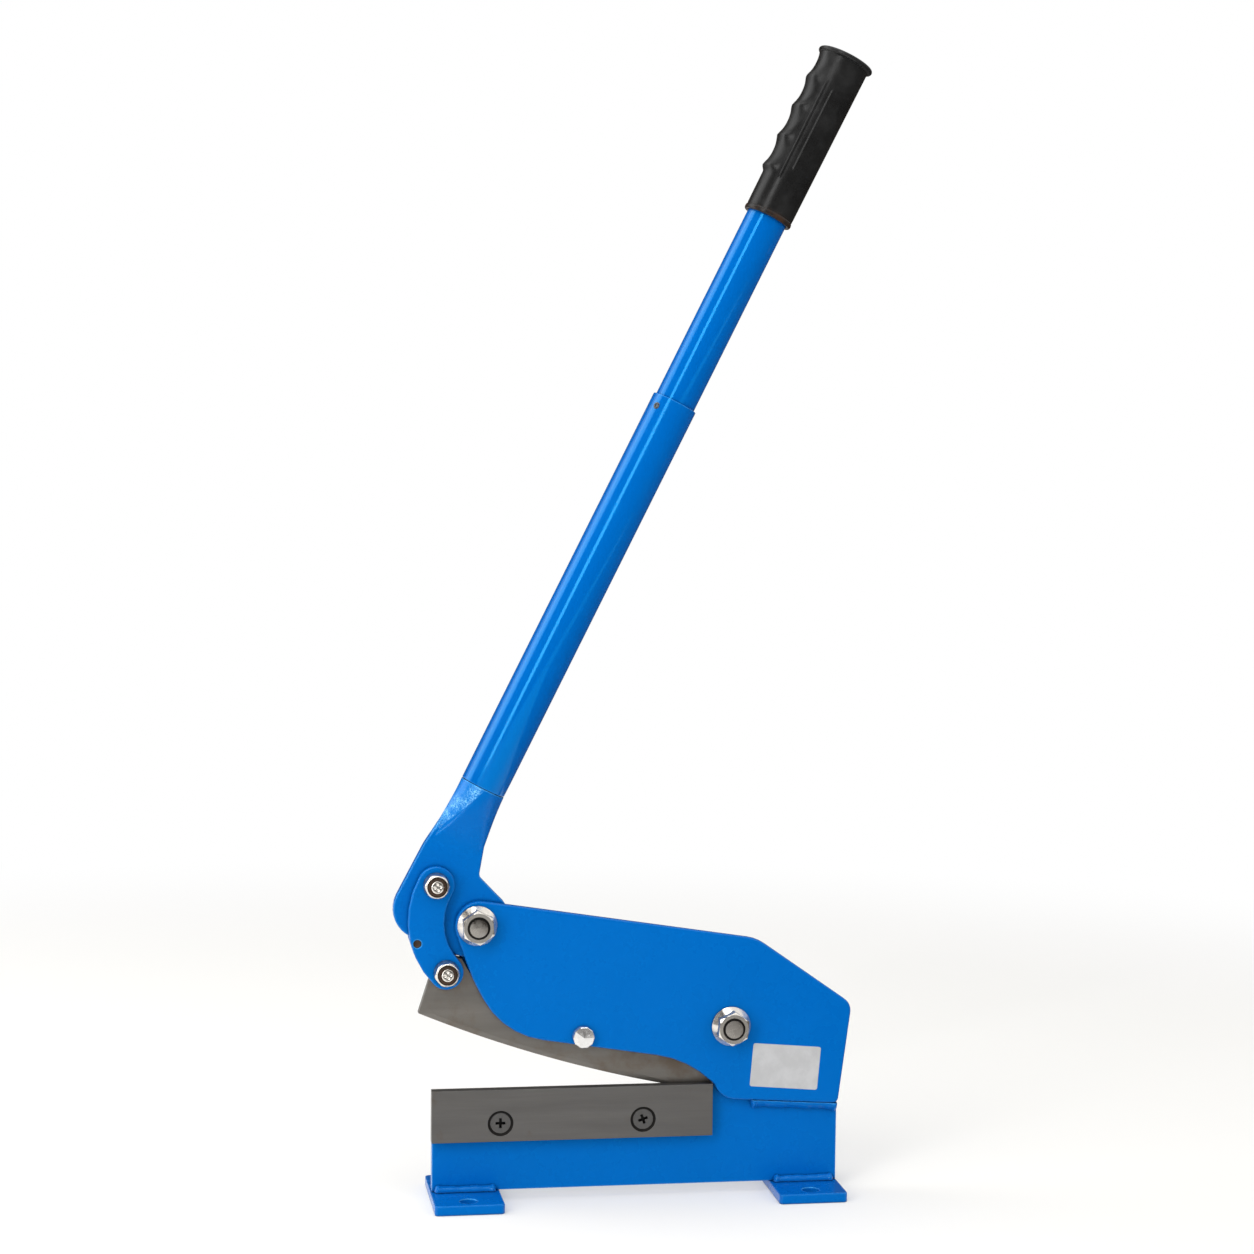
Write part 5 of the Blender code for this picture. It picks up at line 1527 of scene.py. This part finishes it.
@dataclass
class Studio:
    """The pale floor, soft lamps, plain surroundings and the camera."""

    camera_place: Vector = field(default_factory=lambda: Vector((-0.1918, -1.8986, 0.5390)))
    yaw: float = math.radians(9.10)
    pitch: float = math.radians(3.97)
    roll: float = math.radians(0.59)
    focal_length: float = 78.66
    sensor: float = 36.0
    clip: tuple[float, float] = (0.05, 100.0)
    sky_levels: tuple[float, float, float, float] = (-0.5, 0.9, 0.55, 1.0)
    sky_strength: float = 0.62
    floor_reach: float = 30.0
    floor_colour: Colour = (0.73, 0.72, 0.695)
    floor_glow: float = 0.27
    floor_fade: tuple[float, float] = (0.8, 1.6)
    bounce_colour: Colour = (0.75, 0.75, 0.75)
    tube_middle: float = 0.30
    screen_radius: float = 2.5
    screen_length: float = 1.7
    screen_opening: tuple[float, float] = (74.0, 126.0)
    screen_steps: int = 90
    apron: Profile = ((0.34, -1.3), (2.6, -1.3), (2.6, 2.2), (0.34, 2.2))
    apron_height: float = 0.003

    def build(self) -> None:
        """Builds everything round the object."""
        bpy.context.scene.view_settings.view_transform = "Standard"
        self.add_world()
        self.add_floor()
        self.add_dark_screen()
        self.add_lamps()
        self.add_camera()

    def add_world(self) -> None:
        """Soft light from all round, which the camera sees as plain white."""
        world = bpy.data.worlds.new("studio_surroundings")
        bpy.context.scene.world = world
        world.use_nodes = True
        graph = Graph(world.node_tree)
        world.node_tree.nodes.clear()
        height = graph.part(graph.add("ShaderNodeTexCoord").outputs["Generated"], 2)
        glow = graph.mapped(height, *self.sky_levels)
        sky = graph.add("ShaderNodeCombineColor", {0: glow, 1: glow, 2: glow}).outputs[0]
        lights = ((sky, self.sky_strength), (WHITE, 1.0))
        soft, white = (graph.add("ShaderNodeBackground", dict(enumerate(each))) for each in lights)
        inputs = {0: self.shown(graph), 1: soft.outputs[0], 2: white.outputs[0]}
        mixed = graph.add("ShaderNodeMixShader", inputs).outputs[0]
        graph.add("ShaderNodeOutputWorld", {"Surface": mixed})

    @staticmethod
    def shown(graph: Graph) -> Socket:
        """1 for rays that show the background: from the camera, off gloss or through glass.

        Args:
            graph: The graph of a world or a floor.

        Returns:
            The socket.
        """
        rays = graph.add("ShaderNodeLightPath").outputs
        direct = graph.maths("MAXIMUM", rays["Is Camera Ray"], rays["Is Glossy Ray"])
        return graph.maths("MAXIMUM", direct, rays["Is Transmission Ray"])

    def add_floor(self) -> None:
        """A wide pale floor that keeps soft shadows and reads as white."""
        material = bpy.data.materials.new("studio_floor_finish")
        material.use_nodes = True
        graph = Graph(material.node_tree)
        material.node_tree.nodes.clear()

        def shader(kind: str, *values: object) -> Socket:
            """Adds a shader node with these inputs."""
            return graph.add(kind, dict(enumerate(values))).outputs[0]

        matt = shader("ShaderNodeBsdfDiffuse", (*self.floor_colour, 1.0))
        glow = shader("ShaderNodeEmission", WHITE, self.floor_glow)
        near = shader("ShaderNodeAddShader", matt, glow)
        away = graph.vectors("LENGTH", graph.place()).outputs["Value"]
        white = shader("ShaderNodeEmission", WHITE, 1.0)
        seen = shader("ShaderNodeMixShader", graph.mapped(away, *self.floor_fade), near, white)
        plain = shader("ShaderNodeBsdfDiffuse", (*self.bounce_colour, 1.0))
        mixed = shader("ShaderNodeMixShader", self.shown(graph), plain, seen)
        graph.add("ShaderNodeOutputMaterial", {"Surface": mixed})
        ways = ((-1, -1), (1, -1), (1, 1), (-1, 1))
        corners = [(x * self.floor_reach, y * self.floor_reach, 0) for x, y in ways]
        self.add_surface("studio_floor", corners, [(0, 1, 2, 3)], material)

    @staticmethod
    def add_surface(
        name: str, points: Sequence, faces: Sequence, material: Material
    ) -> bpy.types.Object:
        """Adds a piece of the studio.

        Args:
            name: Its name.
            points: Its corner points.
            faces: Its faces, as corner numbers.
            material: Its material.

        Returns:
            The object.
        """
        mesh = bpy.data.meshes.new(name)
        mesh.from_pydata([tuple(point) for point in points], [], faces)
        mesh.materials.append(material)
        item = placed(name, mesh, IN_FRAME)
        return item

    def add_dark_screen(self) -> None:
        """A dark wrap round the lever's axis and a dark apron on the floor, seen only in gloss.

        The wrap's opening on the left gives the tubes and the grip a bright band between dark ones.
        """
        middle, along, facing, left, _ = self.tube_axes()
        steps = self.screen_steps
        points, faces = [], []
        for k in range(steps):
            turn = math.tau * k / steps
            way = self.screen_radius * (facing * math.cos(turn) + left * math.sin(turn))
            points += [middle + way + end * self.screen_length * along for end in (-1, 1)]
            half_step = 360 * (k + 0.5) / steps
            if not self.screen_opening[0] < half_step < self.screen_opening[1]:
                other = 2 * ((k + 1) % steps)
                faces.append((2 * k, 2 * k + 1, other + 1, other))
        faces.append(tuple(range(len(points), len(points) + 4)))
        points += [(x, y, self.apron_height) for x, y in self.apron]
        screen = self.add_surface("dark_screen", points, faces, DarkCloth().build())
        for ray in ("camera", "diffuse", "transmission", "shadow"):
            setattr(screen, f"visible_{ray}", False)

    def tube_axes(self) -> tuple[Vector, Vector, Vector, Vector, Vector]:
        """The directions that place what the tube mirrors.

        Returns:
            The tube's middle, its direction, the ways to the camera and to the left across it, and
            the way from the camera to the middle.
        """
        axis = LeverSizes().axis(self.tube_middle)
        middle, along = axis.translation, axis.to_3x3() @ UPWARDS
        view = (middle - self.camera_place).normalized()
        facing = (-view + along * view.dot(along)).normalized()
        left = facing.cross(along).normalized()
        return middle, along, facing, left if left.x < 0 else -left, view

    def strip_place(self, share: float, distance: float) -> Vector:
        """The place that the camera sees mirrored in the tube.

        Args:
            share: The place across the tube, from 0 at its left rim to 1 at its right.
            distance: How far the place is from the tube.

        Returns:
            The point in the frame.
        """
        middle, _, facing, left, view = self.tube_axes()
        side = 1 - 2 * share
        normal = facing * math.sqrt(1 - side * side) + left * side
        return middle + (view - 2 * view.dot(normal) * normal) * distance

    def add_lamps(self) -> None:
        """Strip lamps along the lever that the tube mirrors, and broad soft lamps."""
        middle, along = self.tube_axes()[:2]
        narrow, rim = self.strip_place(0.36, 2.2), self.strip_place(0.13, 1.9)
        left, right = Vector((-1.9, -1.2, 1.0)), Vector((2.0, -1.6, 1.0))
        top = Vector((-0.1, -0.5, 2.4))
        lamps = (
            Lamp("left_softbox", left, (1.2, 1.8), 8.0, along, mirrored=False),
            Lamp("narrow_softbox", narrow, (0.52, 2.6), 24.0, along, mirrored=True),
            Lamp("rim_softbox", rim, (1.0, 2.6), 15.0, along, mirrored=True),
            Lamp("top_softbox", top, (1.2, 0.6), 8.0, UPWARDS, mirrored=True),
            Lamp("right_fill", right, (1.6, 1.8), 12.0, UPWARDS, mirrored=False),
        )
        for lamp in lamps:
            lamp.add(middle)

    def add_camera(self) -> None:
        """The camera at the photograph's place, angle and focal length."""
        sin, cos = math.sin, math.cos
        level = Vector((sin(self.yaw) * cos(self.pitch), cos(self.yaw) * cos(self.pitch)))
        forward = Vector((*level, -sin(self.pitch)))
        right = Vector((cos(self.yaw), -sin(self.yaw), 0.0))
        up = right.cross(forward)
        rolled_right = right * cos(self.roll) + up * sin(self.roll)
        rolled_up = up * cos(self.roll) - right * sin(self.roll)
        data = bpy.data.cameras.new("photo_camera")
        data.lens, data.sensor_width = self.focal_length, self.sensor
        data.clip_start, data.clip_end = self.clip
        seat = aimed(self.camera_place, rolled_right, rolled_up, -forward)
        bpy.context.scene.camera = placed("photo_camera", data, seat)


def main() -> None:
    """Builds the studio and each sub-assembly in order."""
    logging.basicConfig(level=logging.INFO, format="%(message)s")
    Studio().build()
    shop = Workshop()
    for assembly in (FrameAssembly, WeldSet, BladeSet, PivotSet, LinkSet, LeverSet):
        assembly(shop).build()


if __name__ == "__main__":
    main()
